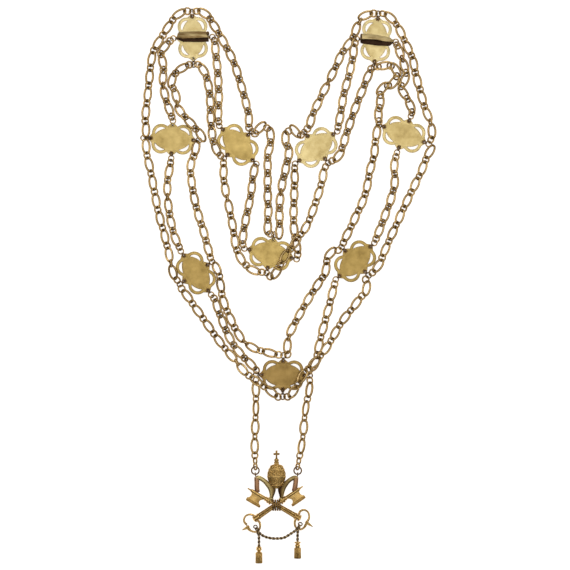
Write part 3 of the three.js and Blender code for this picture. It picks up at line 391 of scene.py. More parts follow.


# Materials. Colours are linear values: bright gilding, worn gilding, and tarnish that also stands for painted
# shade.
PALE = ((0.99, 0.82, 0.42), (0.80, 0.62, 0.27), (0.36, 0.22, 0.07))
YELLOW = ((0.73, 0.52, 0.17), (0.58, 0.40, 0.12), (0.27, 0.16, 0.045))
DEEP = ((0.42, 0.265, 0.09), (0.34, 0.21, 0.065), (0.15, 0.085, 0.025))
WIRE = ((0.80, 0.57, 0.26), (0.46, 0.27, 0.08), (0.07, 0.033, 0.01))
CAST = ((0.76, 0.50, 0.18), (0.42, 0.245, 0.07), (0.10, 0.043, 0.012))
STRAP = ((0.58, 0.46, 0.20), (0.30, 0.20, 0.07), (0.055, 0.025, 0.01))
RED_STRAP = ((0.46, 0.25, 0.13), (0.30, 0.15, 0.075), (0.09, 0.04, 0.02))
CLIP = ((0.62, 0.48, 0.23), (0.30, 0.19, 0.075), (0.09, 0.05, 0.02))
# near black: painted shade on the clip's lower leg
CLIP_SHADE_COLOURS = ((0.10, 0.055, 0.03), (0.035, 0.018, 0.01), (0.01, 0.006, 0.003))
ROPE = ((0.48, 0.34, 0.17), (0.15, 0.09, 0.042), (0.03, 0.016, 0.008))
SOLDER = ((0.34, 0.20, 0.075), (0.15, 0.08, 0.03), (0.03, 0.016, 0.008))
DENT_GRAIN = 1100
DENT_DEPTH = 0.0003  # in metres

# Metals: colours, roughness where bright and where dull, grain and strength of the mottling, bump and stretch
METALS = {
    "wire_gilt": (WIRE, (0.28, 0.5), 45, 0.3, 0.06),
    "cast_gilt": (CAST, (0.26, 0.5), 260, 0.8, 0.9),
    "smooth_gilt": (CAST, (0.22, 0.45), 230, 1.0, 0.4),
    "strap_gilt": (STRAP, (0.25, 0.45), 120, 0.6, 0.3),
    "rope_gilt": (ROPE, (0.3, 0.5), 200, 0.5, 0.3),
    "solder": (SOLDER, (0.3, 0.6), 45, 0.6, 0.25),
    "red_strap": (RED_STRAP, (0.25, 0.45), 120, 0.6, 0.3),
    "clip_gilt": (CLIP, (0.3, 0.5), 150, 2.2, 0.25, (0.45, 2.6, 1)),
    "clip_painted_shade": (CLIP_SHADE_COLOURS, (0.4, 0.6), 110, 0.8, 0.25),
}
PLAQUE_METAL = ((0.32, 0.5), 120, 1.5, 0.2)


def fill(node, inputs, **settings):
    """The node, with these values in its inputs and these settings."""
    for key, value in inputs.items():
        node.inputs[key].default_value = value
    for key, value in settings.items():
        setattr(node, key, value)
    return node


def gilt_material(name, colours, roughness, grain, mottle, bump, stretch=(1, 1, 1)):
    """Gilt metal: it runs from bright to worn to dark with the attribute of tarnish and painted shade, and
    with noise.
    """
    bright, worn, dark = ((*colour, 1) for colour in colours)
    material = bpy.data.materials.new(name)
    material.use_nodes = True
    tree = material.node_tree
    new = tree.nodes.new
    shader = fill(tree.nodes["Principled BSDF"], {"Metallic": 1.0})
    place = new("ShaderNodeTexCoord")
    scaled = fill(new("ShaderNodeMapping"), {"Scale": stretch})
    coarse = fill(new("ShaderNodeTexNoise"), {"Scale": grain, "Detail": 5.0, "Roughness": 0.62})
    fine = fill(new("ShaderNodeTexNoise"), {"Scale": DENT_GRAIN, "Detail": 3.0, "Roughness": 0.7})
    # the attribute holds tarnish and painted shade
    tarnish_and_shade = fill(new("ShaderNodeAttribute"), {}, attribute_name="tarnish_and_shade")
    spread = fill(new("ShaderNodeMath"), {1: mottle, 2: -mottle / 2}, operation="MULTIPLY_ADD")
    total = fill(new("ShaderNodeMath"), {}, operation="ADD", use_clamp=True)
    ramp = new("ShaderNodeValToRGB")
    stops = ramp.color_ramp.elements
    stops[0].color = bright
    stops[1].color = dark
    stops.new(0.5).color = worn
    rough = fill(new("ShaderNodeMapRange"), {"To Min": roughness[0], "To Max": roughness[1]})
    dents = fill(new("ShaderNodeBump"), {"Strength": bump, "Distance": DENT_DEPTH})
    for source, output, target, entry in (
        (place, "Object", scaled, "Vector"), (scaled, "Vector", coarse, "Vector"),
        (place, "Object", fine, "Vector"), (coarse, "Fac", spread, 0), (spread, "Value", total, 0),
        (tarnish_and_shade, "Fac", total, 1), (total, "Value", ramp, "Fac"), (ramp, "Color", shader, "Base Color"),
        (total, "Value", rough, "Value"), (rough, "Result", shader, "Roughness"),
        (fine, "Fac", dents, "Height"), (dents, "Normal", shader, "Normal"),
    ):
        tree.links.new(source.outputs[output], target.inputs[entry])
    return material


def plaque_colours(tone):
    """Gilding between pale, yellow and deep, for tones from 0 to 1."""
    first, second = np.array((PALE, YELLOW) if tone < 0.5 else (YELLOW, DEEP))
    return first + (second - first) * (tone * 2 if tone < 0.5 else tone * 2 - 1)


metals = {name: gilt_material(name, *facts) for name, facts in METALS.items()}
for name, (*_, tone, _) in PLAQUES.items():
    metals[f"{name}_gilt"] = gilt_material(f"{name}_gilt", plaque_colours(tone), *PLAQUE_METAL)


# Meshes
def gathered(pieces):
    """One list of points, faces, and tarnish with painted shade from several."""
    points, faces, tarnish_and_shade = [], [], []
    offset = 0
    for some_points, some_faces, some_tarnish in pieces:
        points.append(some_points)
        faces += [tuple(index + offset for index in face) for face in some_faces]
        tarnish_and_shade.append(np.broadcast_to(some_tarnish, len(some_points)))
        offset += len(some_points)
    return np.concatenate(points), faces, np.concatenate(tarnish_and_shade)


def added(name, data):
    """A new object in the scene."""
    made = bpy.data.objects.new(name, data)
    bpy.context.collection.objects.link(made)
    return made


def mesh_piece(name, pieces, metal, node_names=(), sharp=180):
    """A mesh object from pieces in millimetres, riding on the one body and standing for the named nodes."""
    points, faces, tarnish_and_shade = gathered(pieces)
    mesh = bpy.data.meshes.new(name)
    mesh.from_pydata([tuple(point) for point in points * MM], [], faces)
    mesh.update()
    mesh.polygons.foreach_set("use_smooth", [True] * len(mesh.polygons))
    if sharp < 180:
        mesh.set_sharp_from_angle(angle=math.radians(sharp))
    piece = added(name, mesh)
    mesh.materials.append(metals[metal])
    # tarnish and painted shade, per point
    layer = mesh.attributes.new("tarnish_and_shade", "FLOAT", "POINT")
    layer.data.foreach_set("value", np.ascontiguousarray(tarnish_and_shade, np.float32))
    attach(piece, "root")
    if node_names:
        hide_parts(*node_names)


def turns(count):
    """Angles at even steps round a circle."""
    return [i / count * 2 * math.pi for i in range(count)]


def tube_faces(rows, around, closed):
    """Faces between rows of points, with flat ends unless the last row joins the first."""
    faces = []
    for i in range(rows if closed else rows - 1):
        here, there = i * around, (i + 1) % rows * around
        for j in range(around):
            beside = (j + 1) % around
            faces.append((here + j, here + beside, there + beside, there + j))
    if not closed:
        faces.append(tuple(reversed(range(around))))
        faces.append(tuple((rows - 1) * around + j for j in range(around)))
    return faces


def lathe(profile, steps=32, flatten=1.0, ribs=0, groove=0.0, closed=False):
    """A turned solid about +X, from pairs of place along it and radius, with grooves between ribs."""
    points = []
    for along, out in profile:
        for turn in turns(steps):
            cut = 1 - groove * (0.5 - 0.5 * math.cos(turn * ribs))
            points.append((along, out * cut * math.cos(turn), out * cut * math.sin(turn) * flatten))
    return np.array(points), tube_faces(len(profile), steps, closed)


def fluted(profile, steps, flatten, ribs, groove, shades):
    """A turned solid and its darkening, which grows by the second shade into the grooves."""
    points, faces = lathe(profile, steps, flatten, ribs, groove)
    depth = 0.5 - 0.5 * np.cos(ribs * np.arctan2(points[:, 2] / flatten, points[:, 1]))
    return (points, faces), shades[0] + shades[1] * depth


def ball(x, y, z, radii, steps=12, rings=7):
    heights = [math.pi * (i + 0.5) / rings for i in range(rings)]
    points, faces = lathe([(-math.cos(angle), math.sin(angle)) for angle in heights], steps)
    return points * np.array(radii) + np.array([x, y, z]), faces


def full_oval(count, fullness):
    """Points round an oval of radius 1, more square the fuller it is."""
    circle = np.array([(math.cos(turn), math.sin(turn)) for turn in turns(count)])
    return np.sign(circle) * np.abs(circle) ** (2 / fullness)


def directions(samples):
    """At each sample of a curve the directions level across it and up from it."""
    along = np.gradient(samples, axis=0)
    along /= np.linalg.norm(along, axis=1)[:, None]
    across = np.cross(np.array([0.0, 0.0, 1.0]), along)
    across /= np.linalg.norm(across, axis=1)[:, None]
    return across, np.cross(along, across)


def sweep(points, half_width, half_height, sides, fullness=2.0, per_span=6, taper=None):
    """A wire or band along points, as wide as asked across the surface and as high upwards."""
    samples = route_points(points, per_span)
    across, up = directions(samples)
    section = full_oval(sides, fullness) * (half_width, half_height)
    made = []
    for i, share in enumerate(np.linspace(0, 1, len(samples))):
        sized = section * taper(share) if taper else section
        made.append(samples[i] + sized @ np.stack([across[i], up[i]]))
    return np.concatenate(made), tube_faces(len(samples), sides, False)


def laid(points, x, y, heading, z=0.0):
    """Points turned from +X to the heading in radians and moved."""
    cos, sin = math.cos(heading), math.sin(heading)
    return np.stack([
        points[:, 0] * cos - points[:, 1] * sin + x,
        points[:, 0] * sin + points[:, 1] * cos + y,
        points[:, 2] + z,
    ], axis=1)


def route_points(points, per_span=24):
    """A centripetal Catmull-Rom curve through points, as the model's source has it."""
    points = [np.array(point, float) for point in points]
    first = points[0] * 2 - points[1]
    last = points[-1] * 2 - points[-2]
    padded = [first, *points, last]
    samples = []
    for i in range(len(points) - 1):
        p0, p1, p2, p3 = padded[i:i + 4]
        d0, d1, d2 = (math.sqrt(np.linalg.norm(b - a)) for a, b in ((p0, p1), (p1, p2), (p2, p3)))
        start = ((p1 - p0) / d0 - (p2 - p0) / (d0 + d1) + (p2 - p1) / d1) * d1
        end = ((p2 - p1) / d1 - (p3 - p1) / (d1 + d2) + (p3 - p2) / d2) * d1
        for t in np.linspace(0, 1, per_span, endpoint=False):
            bend = (3 * (p2 - p1) - 2 * start - end) * t * t
            samples.append(p1 + start * t + bend + (2 * (p1 - p2) + start + end) * t ** 3)
    samples.append(points[-1])
    return np.array(samples)


class Route:
    """A sampled curve that gives the place and direction at a distance along it."""

    def __init__(self, points):
        self.samples = route_points(points)
        steps = np.linalg.norm(np.diff(self.samples, axis=0), axis=1)
        self.distances = np.concatenate([[0], np.cumsum(steps)])
        self.length = self.distances[-1]

    def place(self, distance):
        return np.stack([np.interp(distance, self.distances, axis) for axis in self.samples.T], axis=-1)

    def direction(self, distance, span=1.5):
        ahead = self.place(min(distance + span, self.length))
        behind = self.place(max(distance - span, 0))
        return (ahead - behind) / np.linalg.norm(ahead - behind)


def on_plaque(points, plaque):
    """Points from the plaque's own frame to the model's."""
    at, turn, *_ = PLAQUES[plaque]
    return laid(points, *at, math.radians(turn))


def eye_place(plaque, side, out=0):
    """The place of a plaque's eye, or of a point so much farther out."""
    x, y = SIDES[side][0] * (EYE_AT[0] + out), SIDES[side][1] * (EYE_AT[1] + out)
    return on_plaque(np.array([[x, y, 0.0]]), plaque)[0, :2]


def hub_place(plaque, side):
    return eye_place(plaque, side, HUB_OUTS.get((plaque, side), HUB_OUT))


# Links. Their darkening: tarnish on top of the wire, and painted shade down its sides and at the two ends,
# where the links meet.
LINK_TARNISH_AND_SHADE = (0.06, 0.58, 0.6)
LINK_TARNISH_SPREAD = (-0.1, 0.12)


def link_shape(length, width, wire, steps, sides, fullness):
    """Points, faces, and tarnish with painted shade of one link, with its length along X."""
    middle = full_oval(steps, fullness) * ((length - wire) / 2, (width - wire) / 2)
    ends = np.abs(np.cos(turns(steps))) ** 9
    tangent = np.roll(middle, -1, axis=0) - np.roll(middle, 1, axis=0)
    tangent /= np.linalg.norm(tangent, axis=1)[:, None]
    outward = np.stack([tangent[:, 1], -tangent[:, 0]], axis=1)
    on_top, side_shade, end_shade = LINK_TARNISH_AND_SHADE
    points, tarnish_and_shade = [], []
    for i in range(steps):
        for turn in turns(sides):
            out, up = math.cos(turn) * wire / 2, -math.sin(turn) * wire / 2
            points.append((middle[i][0] + outward[i][0] * out, middle[i][1] + outward[i][1] * out, up))
            sideways = abs(math.cos(turn)) ** 1.5
            # painted shade down the sides of the wire and at the link's two ends, on top of the tarnish
            tarnish_and_shade.append(on_top + side_shade * sideways + end_shade * ends[i])
    return np.array(points), tube_faces(steps, sides, True), np.array(tarnish_and_shade)


def torus(radius, wire, steps=24, sides=8):
    """Points and faces of a ring about Z."""
    return link_shape(radius * 2 + wire, radius * 2 + wire, wire, steps, sides, 2.0)[:2]


LINK_SHAPES = {kind: link_shape(*sizes) for kind, sizes in LINKS.items()}


def rest_height(width, wire, tilt):
    """Height of the middle of a link that leans on the surface at that tilt."""
    return (width - wire) / 2 * abs(math.sin(math.radians(tilt))) + wire / 2


def link_places(sizes, bite=0.0):
    """How far along a taut strand each link's middle is from that of the first."""
    spacings = [(a[0] + b[0]) / 2 - a[2] - b[2] + bite for a, b in zip(sizes, sizes[1:])]
    return np.concatenate([[0], np.cumsum(spacings)])


def placed_link(shape, centre, direction, tilt, yaw=0.0):
    points, faces, tarnish_and_shade = shape
    lean, turn = math.radians(tilt), math.radians(yaw)
    along = direction / np.linalg.norm(direction)
    side = np.cross([0, 0, 1], along)
    side /= np.linalg.norm(side)
    up = np.cross(along, side)
    heading = along * math.cos(turn) + side * math.sin(turn)
    across = side * math.cos(turn) - along * math.sin(turn)
    axis_y = across * math.cos(lean) + up * math.sin(lean)
    axis_z = up * math.cos(lean) - across * math.sin(lean)
    return points @ np.stack([heading, axis_y, axis_z]) + centre, faces, tarnish_and_shade


def strand(name, start, end, first, count, points):
    """The links from one hub to the other, each leaning and turned a little by chance."""
    chance = random.Random(f"{SEED} {name}")
    points = [(*point, 0)[:3] for point in points]
    path = Route([(*hub_place(*start), 0), *points, (*hub_place(*end), 0)])
    pair = ("ring", "oval") if first == "ring" else ("oval", "ring")
    kinds = [pair[i % 2] for i in range(count)]
    places = link_places([LINKS[kind] for kind in ("hub", *kinds, "hub")])
    distances = places[1:-1] * (path.length / places[-1])
    made = []
    for kind, distance in zip(kinds, distances):
        tilt = TILTS[kind] + chance.uniform(-1, 1) * TILT_SPREAD[kind]
        if chance.random() < FLIP_SHARE:
            tilt = -tilt
        if kind == "ring" and chance.random() < EDGE_SHARE and distance not in distances[[0, -1]]:
            tilt = EDGE_TILT
        centre = path.place(distance)
        centre[2] += rest_height(LINKS[kind][1], LINKS[kind][2], tilt)
        link, faces, tarnish_and_shade = placed_link(LINK_SHAPES[kind], centre, path.direction(distance), tilt,
                                           chance.uniform(-1, 1) * YAW_SPREAD)
        made.append((link, faces, tarnish_and_shade + chance.uniform(*LINK_TARNISH_SPREAD)))
    mesh_piece(f"{name}_links", made, "wire_gilt", [name])


for (span, start, end), strands in SPANS.items():
    for title, (start_side, end_side, first, count, *points) in zip(STRANDS, strands):
        strand(f"chain_{span}_{title}", (start, start_side), (end, end_side), first, count, points)


# Plaques
LOBES = [(a * LOBE_AT[0], b * LOBE_AT[1]) for a in (-1, 1) for b in (-1, 1)]
EYES = {side: (a * EYE_AT[0], b * EYE_AT[1]) for side, (a, b) in SIDES.items()}


def reach(angle, circles):
    """How far a ray from the middle runs before it leaves the last of the shapes."""
    cos, sin = math.cos(angle), math.sin(angle)
    farthest = 1 / math.hypot(cos / DISC[0], sin / DISC[1])
    for x, y, radius in circles:
        along = x * cos + y * sin
        inside = radius ** 2 - (x * x + y * y - along * along)
        if inside > 0 and along > 0:
            farthest = max(farthest, along + math.sqrt(inside))
    return farthest


def plaque_outline():
    circles = [(*lobe, LOBE_RADIUS) for lobe in LOBES]
    circles += [(a * (DISC[0] - TAB_IN), b * (DISC[1] - TAB_IN), TAB_RADIUS) for a, b in SIDES.values()]
    circles += [(*eye, EYE_RADIUS) for eye in EYES.values()]
    angles = turns(OUTLINE_POINTS)
    reaches = np.array([reach(angle, circles) for angle in angles])
    for _ in range(2):
        reaches = (np.roll(reaches, 1) + 2 * reaches + np.roll(reaches, -1)) / 4
    return [(r * math.cos(angle), r * math.sin(angle)) for r, angle in zip(reaches, angles)]


def circle(x, y, radius, count=24):
    return [(x + radius * math.cos(turn), y + radius * math.sin(turn)) for turn in turns(count)]


def oval_angle(point):
    return math.atan2(point[1] / DISC[1], point[0] / DISC[0])


def crescent(lobe):
    """The cut inside one lobe, between the lobe's band and the oval centre."""
    ring = np.array(circle(*lobe, LOBE_RADIUS - BAND, CUT_STEPS))
    free = np.hypot(ring[:, 0] / DISC[0], ring[:, 1] / DISC[1]) >= 1
    first = next(i for i in range(CUT_STEPS) if free[i] and not free[i - 1])
    count = int(free.sum())
    arc = [ring[(first + int(round(k))) % CUT_STEPS] for k in np.linspace(0, count - 1, HOLE_POINTS)]
    back_from, back_to = oval_angle(arc[-1]), oval_angle(arc[0])
    turn = (back_to - back_from + math.pi) % (2 * math.pi) - math.pi
    back = [(DISC[0] * math.cos(back_from + turn * t), DISC[1] * math.sin(back_from + turn * t))
            for t in np.linspace(0, 1, HOLE_POINTS // 2)[1:-1]]
    return [tuple(point) for point in arc] + back


def flat_solid(outlines, bottom, top, bevel):
    """Points and faces of a flat piece with rounded edges, cut by the outlines after the first."""
    curve = bpy.data.curves.new("flat", "CURVE")
    curve.dimensions = "2D"
    curve.fill_mode = "BOTH"
    curve.extrude = (top - bottom) / 2 - bevel
    curve.bevel_depth = bevel
    curve.bevel_resolution = 2
    curve.offset = -bevel
    for outline in outlines:
        spline = curve.splines.new("POLY")
        spline.points.add(len(outline) - 1)
        for point, (x, y) in zip(spline.points, outline):
            point.co = (x, y, 0, 1)
        spline.use_cyclic_u = True
    holder = added("flat", curve)
    graph = bpy.context.evaluated_depsgraph_get()
    mesh = bpy.data.meshes.new_from_object(holder.evaluated_get(graph))
    work = bmesh.new()
    work.from_mesh(mesh)
    bmesh.ops.remove_doubles(work, verts=work.verts, dist=1e-4)
    bmesh.ops.recalc_face_normals(work, faces=work.faces)
    points = np.array([vertex.co[:] for vertex in work.verts])
    points[:, 2] += (bottom + top) / 2
    faces = [tuple(vertex.index for vertex in face.verts) for face in work.faces]
    work.free()
    bpy.data.objects.remove(holder)
    bpy.data.meshes.remove(mesh)
    bpy.data.curves.remove(curve)
    return points, faces


def dome(inset, bottom, rim, rise, rings=8, steps=64, narrowing=0.98):
    """A low oval with a soft rim, set in from the disc's edge, raised or sunk and closed below."""
    rows = [(1.0, bottom)]
    for i in range(rings + 1):
        share = i / rings
        rows.append((1 - narrowing * share, rim + rise * math.sin(share * math.pi / 2)))
    radius_x, radius_y = DISC[0] - inset, DISC[1] - inset
    points = [(radius_x * out * math.cos(turn), radius_y * out * math.sin(turn), height)
              for out, height in rows for turn in turns(steps)]
    faces = tube_faces(len(rows), steps, False)
    if rise < 0:
        faces = [tuple(reversed(face)) for face in faces]
    return np.array(points), faces


def edge_tarnish_and_shade(points):
    """Painted shade low on the edges and in the cuts, darker than the tarnish on the open face."""
    return np.clip((PLATE_TOP - EDGE_BAND - points[:, 2]) * EDGE_FALL, *EDGE_TARNISH_AND_SHADE)


cuts = [crescent(lobe) for lobe in LOBES] + [circle(*eye, EYE_HOLE) for eye in EYES.values()]
PLATE = flat_solid([plaque_outline(), *cuts], PLATE_BOTTOM, PLATE_TOP, PLATE_BEVEL)
BACK_OVAL = dome(BACK_INSET, PLATE_TOP - OVAL_SUNK, PLATE_TOP, BACK_RISE)
FRONT_OVAL = dome(MEDALLION_INSET, PLATE_BOTTOM + OVAL_SUNK, MEDALLION_BULGE, -MEDALLION_BULGE)
COLLAR = torus(*COLLAR_SIZE)


def plaque(name):
    # the plate's edges and cuts get painted shade
    parts = [
        (on_plaque(points, name), faces, edge_tarnish_and_shade(points) + shade)
        for (points, faces), shade in ((PLATE, 0), (BACK_OVAL, OVAL_SHADE))
    ]
    parts.append((on_plaque(FRONT_OVAL[0], name), FRONT_OVAL[1], OPEN_TARNISH))
    mesh_piece(f"{name}_plate", parts, f"{name}_gilt", [name], sharp=25)
    collars = {"solder": [], "collars": []}
    for side, place in EYES.items():
        kind = "solder" if side in PLAQUES[name][-1] else "collars"
        points = COLLAR[0] + np.array([*place, PLATE_TOP - COLLAR_SUNK])
        collars[kind].append((on_plaque(points, name), COLLAR[1], OPEN_TARNISH))
    for kind, metal, slot in (("solder", "solder", "dark_gilt"), ("collars", f"{name}_gilt", "plaque_gilt")):
        if collars[kind]:
            mesh_piece(f"{name}_{kind}", collars[kind], metal)


def hooks(name):
    """The small link in each eye and the ring that hangs from it."""
    rings, eye_links, blobs = [], [], []
    size, _, wire = LINKS["hub"][:3]
    height = rest_height(size, wire, HUB_TILT)
    for side in SIDES:
        eye, hub = eye_place(name, side), hub_place(name, side)
        out = np.linalg.norm(hub - eye)
        direction = np.array([*(hub - eye) / out, 0.0])
        rings.append(placed_link(LINK_SHAPES["hub"], np.array([*hub, height]), direction, HUB_TILT))
        inner = out - (size - wire) / 2
        length = inner + (EYE_LINK_WIRE + wire) / 2 + EYE_LINK_WIRE
        shape = link_shape(length, EYE_LINK_WIDTH, EYE_LINK_WIRE, *EYE_LINK_STEPS)
        middle = eye + direction[:2] * inner / 2
        eye_links.append(placed_link(shape, np.array([*middle, EYE_LINK_HEIGHT]), direction, EYE_LINK_TILT))
        if (name, side) in BLOBS:
            blobs.append((*ball(*(eye + direction[:2]), PLATE_TOP, (BLOB_RADIUS,) * 3), BLOB_TARNISH))
    mesh_piece(f"{name}_hubs", rings, "wire_gilt")
    mesh_piece(f"{name}_eye_links", eye_links + blobs, "rope_gilt")


def clip(name, facts):
    """The spring clip: a lit upper leg, the leg under it painted near black as shade, and the small bump at
    its end.
    """
    place = PLAQUES[name][0]
    # the lower leg's near-black colour is painted shade
    legs = {"upper": (CLIP_UPPER, "clip_gilt", facts["tarnish_and_shade"]), "lower": (CLIP_LOWER, "clip_painted_shade", 0.3)}
    for title, (levels, metal, tarnish_and_shade) in legs.items():
        points, faces = flat_solid([facts[title]], *levels, CLIP_BEVEL)
        parts = [(laid(points, *place, 0.0), faces, tarnish_and_shade)]
        mesh_piece(f"{name}_clip_{title}", parts, metal, sharp=35)
    x, y, across, along = facts["bump"]
    bump = ball(x, y, CLIP_UPPER[1] - CLIP_BEVEL, (across, along, CLIP_BUMP_HEIGHT))
    mesh_piece(f"{name}_clip_bump", [(laid(bump[0], *place, 0.0), bump[1], 0.5)], "rope_gilt")


for plaque_name in PLAQUES:
    plaque(plaque_name)
    hooks(plaque_name)
for clip_plaque, clip_facts in CLIPS.items():
    clip(clip_plaque, clip_facts)


# Pendant chains
def pendant(name, facts):
    (first_x, first_y), *others = facts["points"]
    path = Route([(first_x, first_y, PENDANT_START_Z), *((x, y, PENDANT_Z) for x, y in others)])
    sizes = [PENDANT_SIZES[kind] for kind in PENDANT_KINDS]
    start = (sizes[0][0] - sizes[0][2]) / 2
    places = link_places(sizes, PENDANT_BITE)
    distances = start + places * ((path.length - start) / places[-1])
    shapes = {kind: link_shape(*size, *PENDANT_STEPS) for kind, size in PENDANT_SIZES.items()}
    made = []
    for kind, distance, tilt in zip(PENDANT_KINDS, distances, facts["tilts"]):
        centre, direction = path.place(distance), path.direction(distance)
        direction[2] = 0.0
        made.append(placed_link(shapes[kind], centre, direction, tilt))
    mesh_piece(f"{name}_links", made, "wire_gilt", [name])


for pendant_name, pendant_facts in PENDANTS.items():
    pendant(pendant_name, pendant_facts)


# Badge
def on_badge(shape, tarnish_and_shade, x=0, y=0, heading=0.0, z=0.0):
    """A shape of points and faces, with its tarnish and painted shade, turned and moved to its place on the
    badge.
    """
    points, faces = shape
    return laid(points, x, y, heading, z) + np.array([*BADGE_AT, 0.0]), faces, tarnish_and_shade


def tiara():
    """The turned body with painted highlights along its ridges, the relief of its crowns, its roundels and
    the cross.
    """
    upright = (0, 0, math.pi / 2, TIARA_MIDDLE)
    body = lathe(TIARA_PROFILE, 64, TIARA_FLATTEN)
    # painted highlights: the body is lighter along its ridges
    ridge_highlights = sum(np.exp(-((body[0][:, 0] - along) / RIDGE_WIDTH) ** 2) for along in RIDGE_HIGHLIGHTS)
    relief = []
    for along, radius, leaves in CROWNS:
        for k, turn in enumerate(turns(leaves * 2)):
            across = RELIEF_SHARE * radius * math.cos(turn)
            up = RELIEF_SHARE * radius * math.sin(turn) * TIARA_FLATTEN
            leaf, back = (LEAF, 0) if k % 2 else (BUD, BUD_BACK)
            relief.append(ball(along - back, across, up, leaf, 10, 6))
            relief.append(ball(along - PEARL_BACK, across * 0.99, up, PEARL, 8, 5))
    for along, across, radius in ROUNDELS:
        height = radius * TIARA_FLATTEN
        points, faces = torus(*ROUNDEL)
        relief.append((points + np.array([along, across, height]), faces))
        relief.append(ball(along, across, height, ROUNDEL_KNOB))
    cross = flat_solid([CROSS], TIARA_MIDDLE - CROSS_HALF, TIARA_MIDDLE + CROSS_HALF, 0.3)
    made = [on_badge(body, 0.45 - 0.42 * ridge_highlights, *upright)]
    made += [on_badge(shape, RELIEF_TARNISH, *upright) for shape in relief]
    return made + [on_badge(cross, 0.6)]


def lappet_taper(share):
    """The lappets are widest where they pass the tiara's rim."""
    return 1.05 + 0.85 * math.exp(-((share - 0.68) / 0.18) ** 2) - 0.3 * share, 1.0


def strap(points, width, sides, taper=None):
    return sweep([(x, y, STRAP_Z) for x, y in points], width / 2, STRAP_THICK / 2, sides, STRAP_FULLNESS,
                 taper=taper)


def inner_lappets():
    """Straps with painted shade, darker towards their inner edges below the rim and towards their outer edges
    above it, each with a curl at its end.
    """
    made = []
    for name, side in LAPPETS.items():
        band = strap(side["inner"], STRAP_WIDTH, INNER_SIDES, lappet_taper)
        across = np.cos(turns(INNER_SIDES))
        inward = across if name == "left" else -across
        lower = np.clip((np.linspace(0, 1, len(band[0]) // INNER_SIDES)[:, None] - 0.35) / 0.3, 0, 1)
        # painted shade, on the inner edge below the rim and on the outer edge above it
        shade = 0.8 * lower * np.clip(inward * 1.2 + 0.5, 0, 1) + 0.5 * (1 - lower) * np.clip(-inward, 0, 1)
        made.append(on_badge(band, side["shade"] + shade.ravel()))
        made.append(on_badge(lathe(CURL_PROFILE, 20), 0.1, *side["inner"][-1], 0.0, STRAP_Z + CURL_RISE))
    return made


def outer_lappets():
    """Straps with painted shade, darker towards their lower ends, where they meet the key bits."""
    made = []
    for side in LAPPETS.values():
        band = strap(side["outer"], OUTER_WIDTH, OUTER_SIDES)
        shares = np.linspace(0, 1, len(band[0]) // OUTER_SIDES)
        # painted shade towards the lower end
        made.append(on_badge(band, np.repeat(0.2 + 0.6 * shares ** 3, OUTER_SIDES)))
    return made


def bearing(start, end):
    """Distance and heading from one point to the other."""
    run, rise = end[0] - start[0], end[1] - start[1]
    return math.hypot(run, rise), math.atan2(rise, run)


def keys():
    """The turned parts of both keys and the plates of their bits."""
    made, plates = [], []
    for tip, end, side in KEYS:
        length, heading = bearing(tip, end)
        crossing, _ = bearing(tip, KEY_CROSSING)
        shaft = [(crossing - SHAFT_UNDER, SHAFT_RADII[0]), (length - SHAFT_END, SHAFT_RADII[1])]
        foot = [(length + along, out) for along, out in FOOT_PROFILE]
        stem = STEM_PROFILE + [(crossing, STEM_PROFILE[-1][1])]
        for profile, *ribs in ((stem, 0, 0), (COLLAR_PROFILE, 0, 0), (shaft, *SHAFT_RIBS), (foot, 0, 0)):
            shape = fluted(profile, 48, KEY_FLATTEN, *ribs, KEY_SHADES)
            made.append(on_badge(*shape, *tip, heading, KEY_Z))
        for outline, levels, shade in ((BIT, BIT_LEVELS, 0.22), (BIT_BAR, BIT_BAR_LEVELS, 0.5)):
            turned = [(x, y * side) for x, y in outline[::side]]
            plates.append(on_badge(flat_solid([turned], *levels, 0.4), shade, *tip, heading))
    return made, plates


def binding():
    """Turns of wire round the crossing of the keys."""
    radius, wire = BINDING_SIZE
    profile = [(wire / 2 * math.sin(turn), radius + wire / 2 * math.cos(turn))
               for turn in np.linspace(0, 2 * math.pi, 10, endpoint=False)]
    made = []
    for shift in BINDING_TURNS:
        coil = lathe([(along + shift, out) for along, out in profile], 32, BINDING_FLATTEN, closed=True)
        made.append(on_badge(coil, 0.15, *KEY_CROSSING, 0.0, KEY_Z))
    return made


def bow_taper(share):
    """The wire of a bow is thinner in the middle of each loop."""
    size = 0.85 + 0.3 * abs(2 * share - 1)
    return size, size


def bows():
    """The open bows of the keys: loops of wire, and two leaves from a knob."""
    made = []
    for facts in BOWS.values():
        for loop in facts["loops"]:
            wire = sweep([(x, y, BOW_Z) for x, y in loop], BOW_WIRE / 2, BOW_WIRE / 2, 8, taper=bow_taper)
            made.append(on_badge(wire, 0.25))
        body = facts["body"]
        for end, width in ((facts["leaf"], 1.15), (facts["bud"], 0.95)):
            length, heading = bearing(body, end)
            blade = lathe([(-0.8, 0.4), (0, width * 0.9), (length * 0.3, width), (length * 0.7, width * 0.6),
                           (length, 0.2)], 16, 0.8)
            made.append(on_badge(blade, 0.15, *body, heading, BOW_Z + KNOB_RISE))
        made.append(on_badge(ball(*body, BOW_Z + KNOB_RISE, BOW_KNOB), 0.2))
    return made


def hangers():
    """The small upright loops through which the badge's rings pass."""
    made = []
    for x, y in BADGE_RING_AT.values():
        points, faces = torus(*HANGER)
        upright = np.stack([points[:, 2], points[:, 1], -points[:, 0]], axis=1)
        made.append(on_badge((upright, faces), 0.3, x, y - BADGE_RING[0] / 2, 0.0, STRAP_Z))
    return made


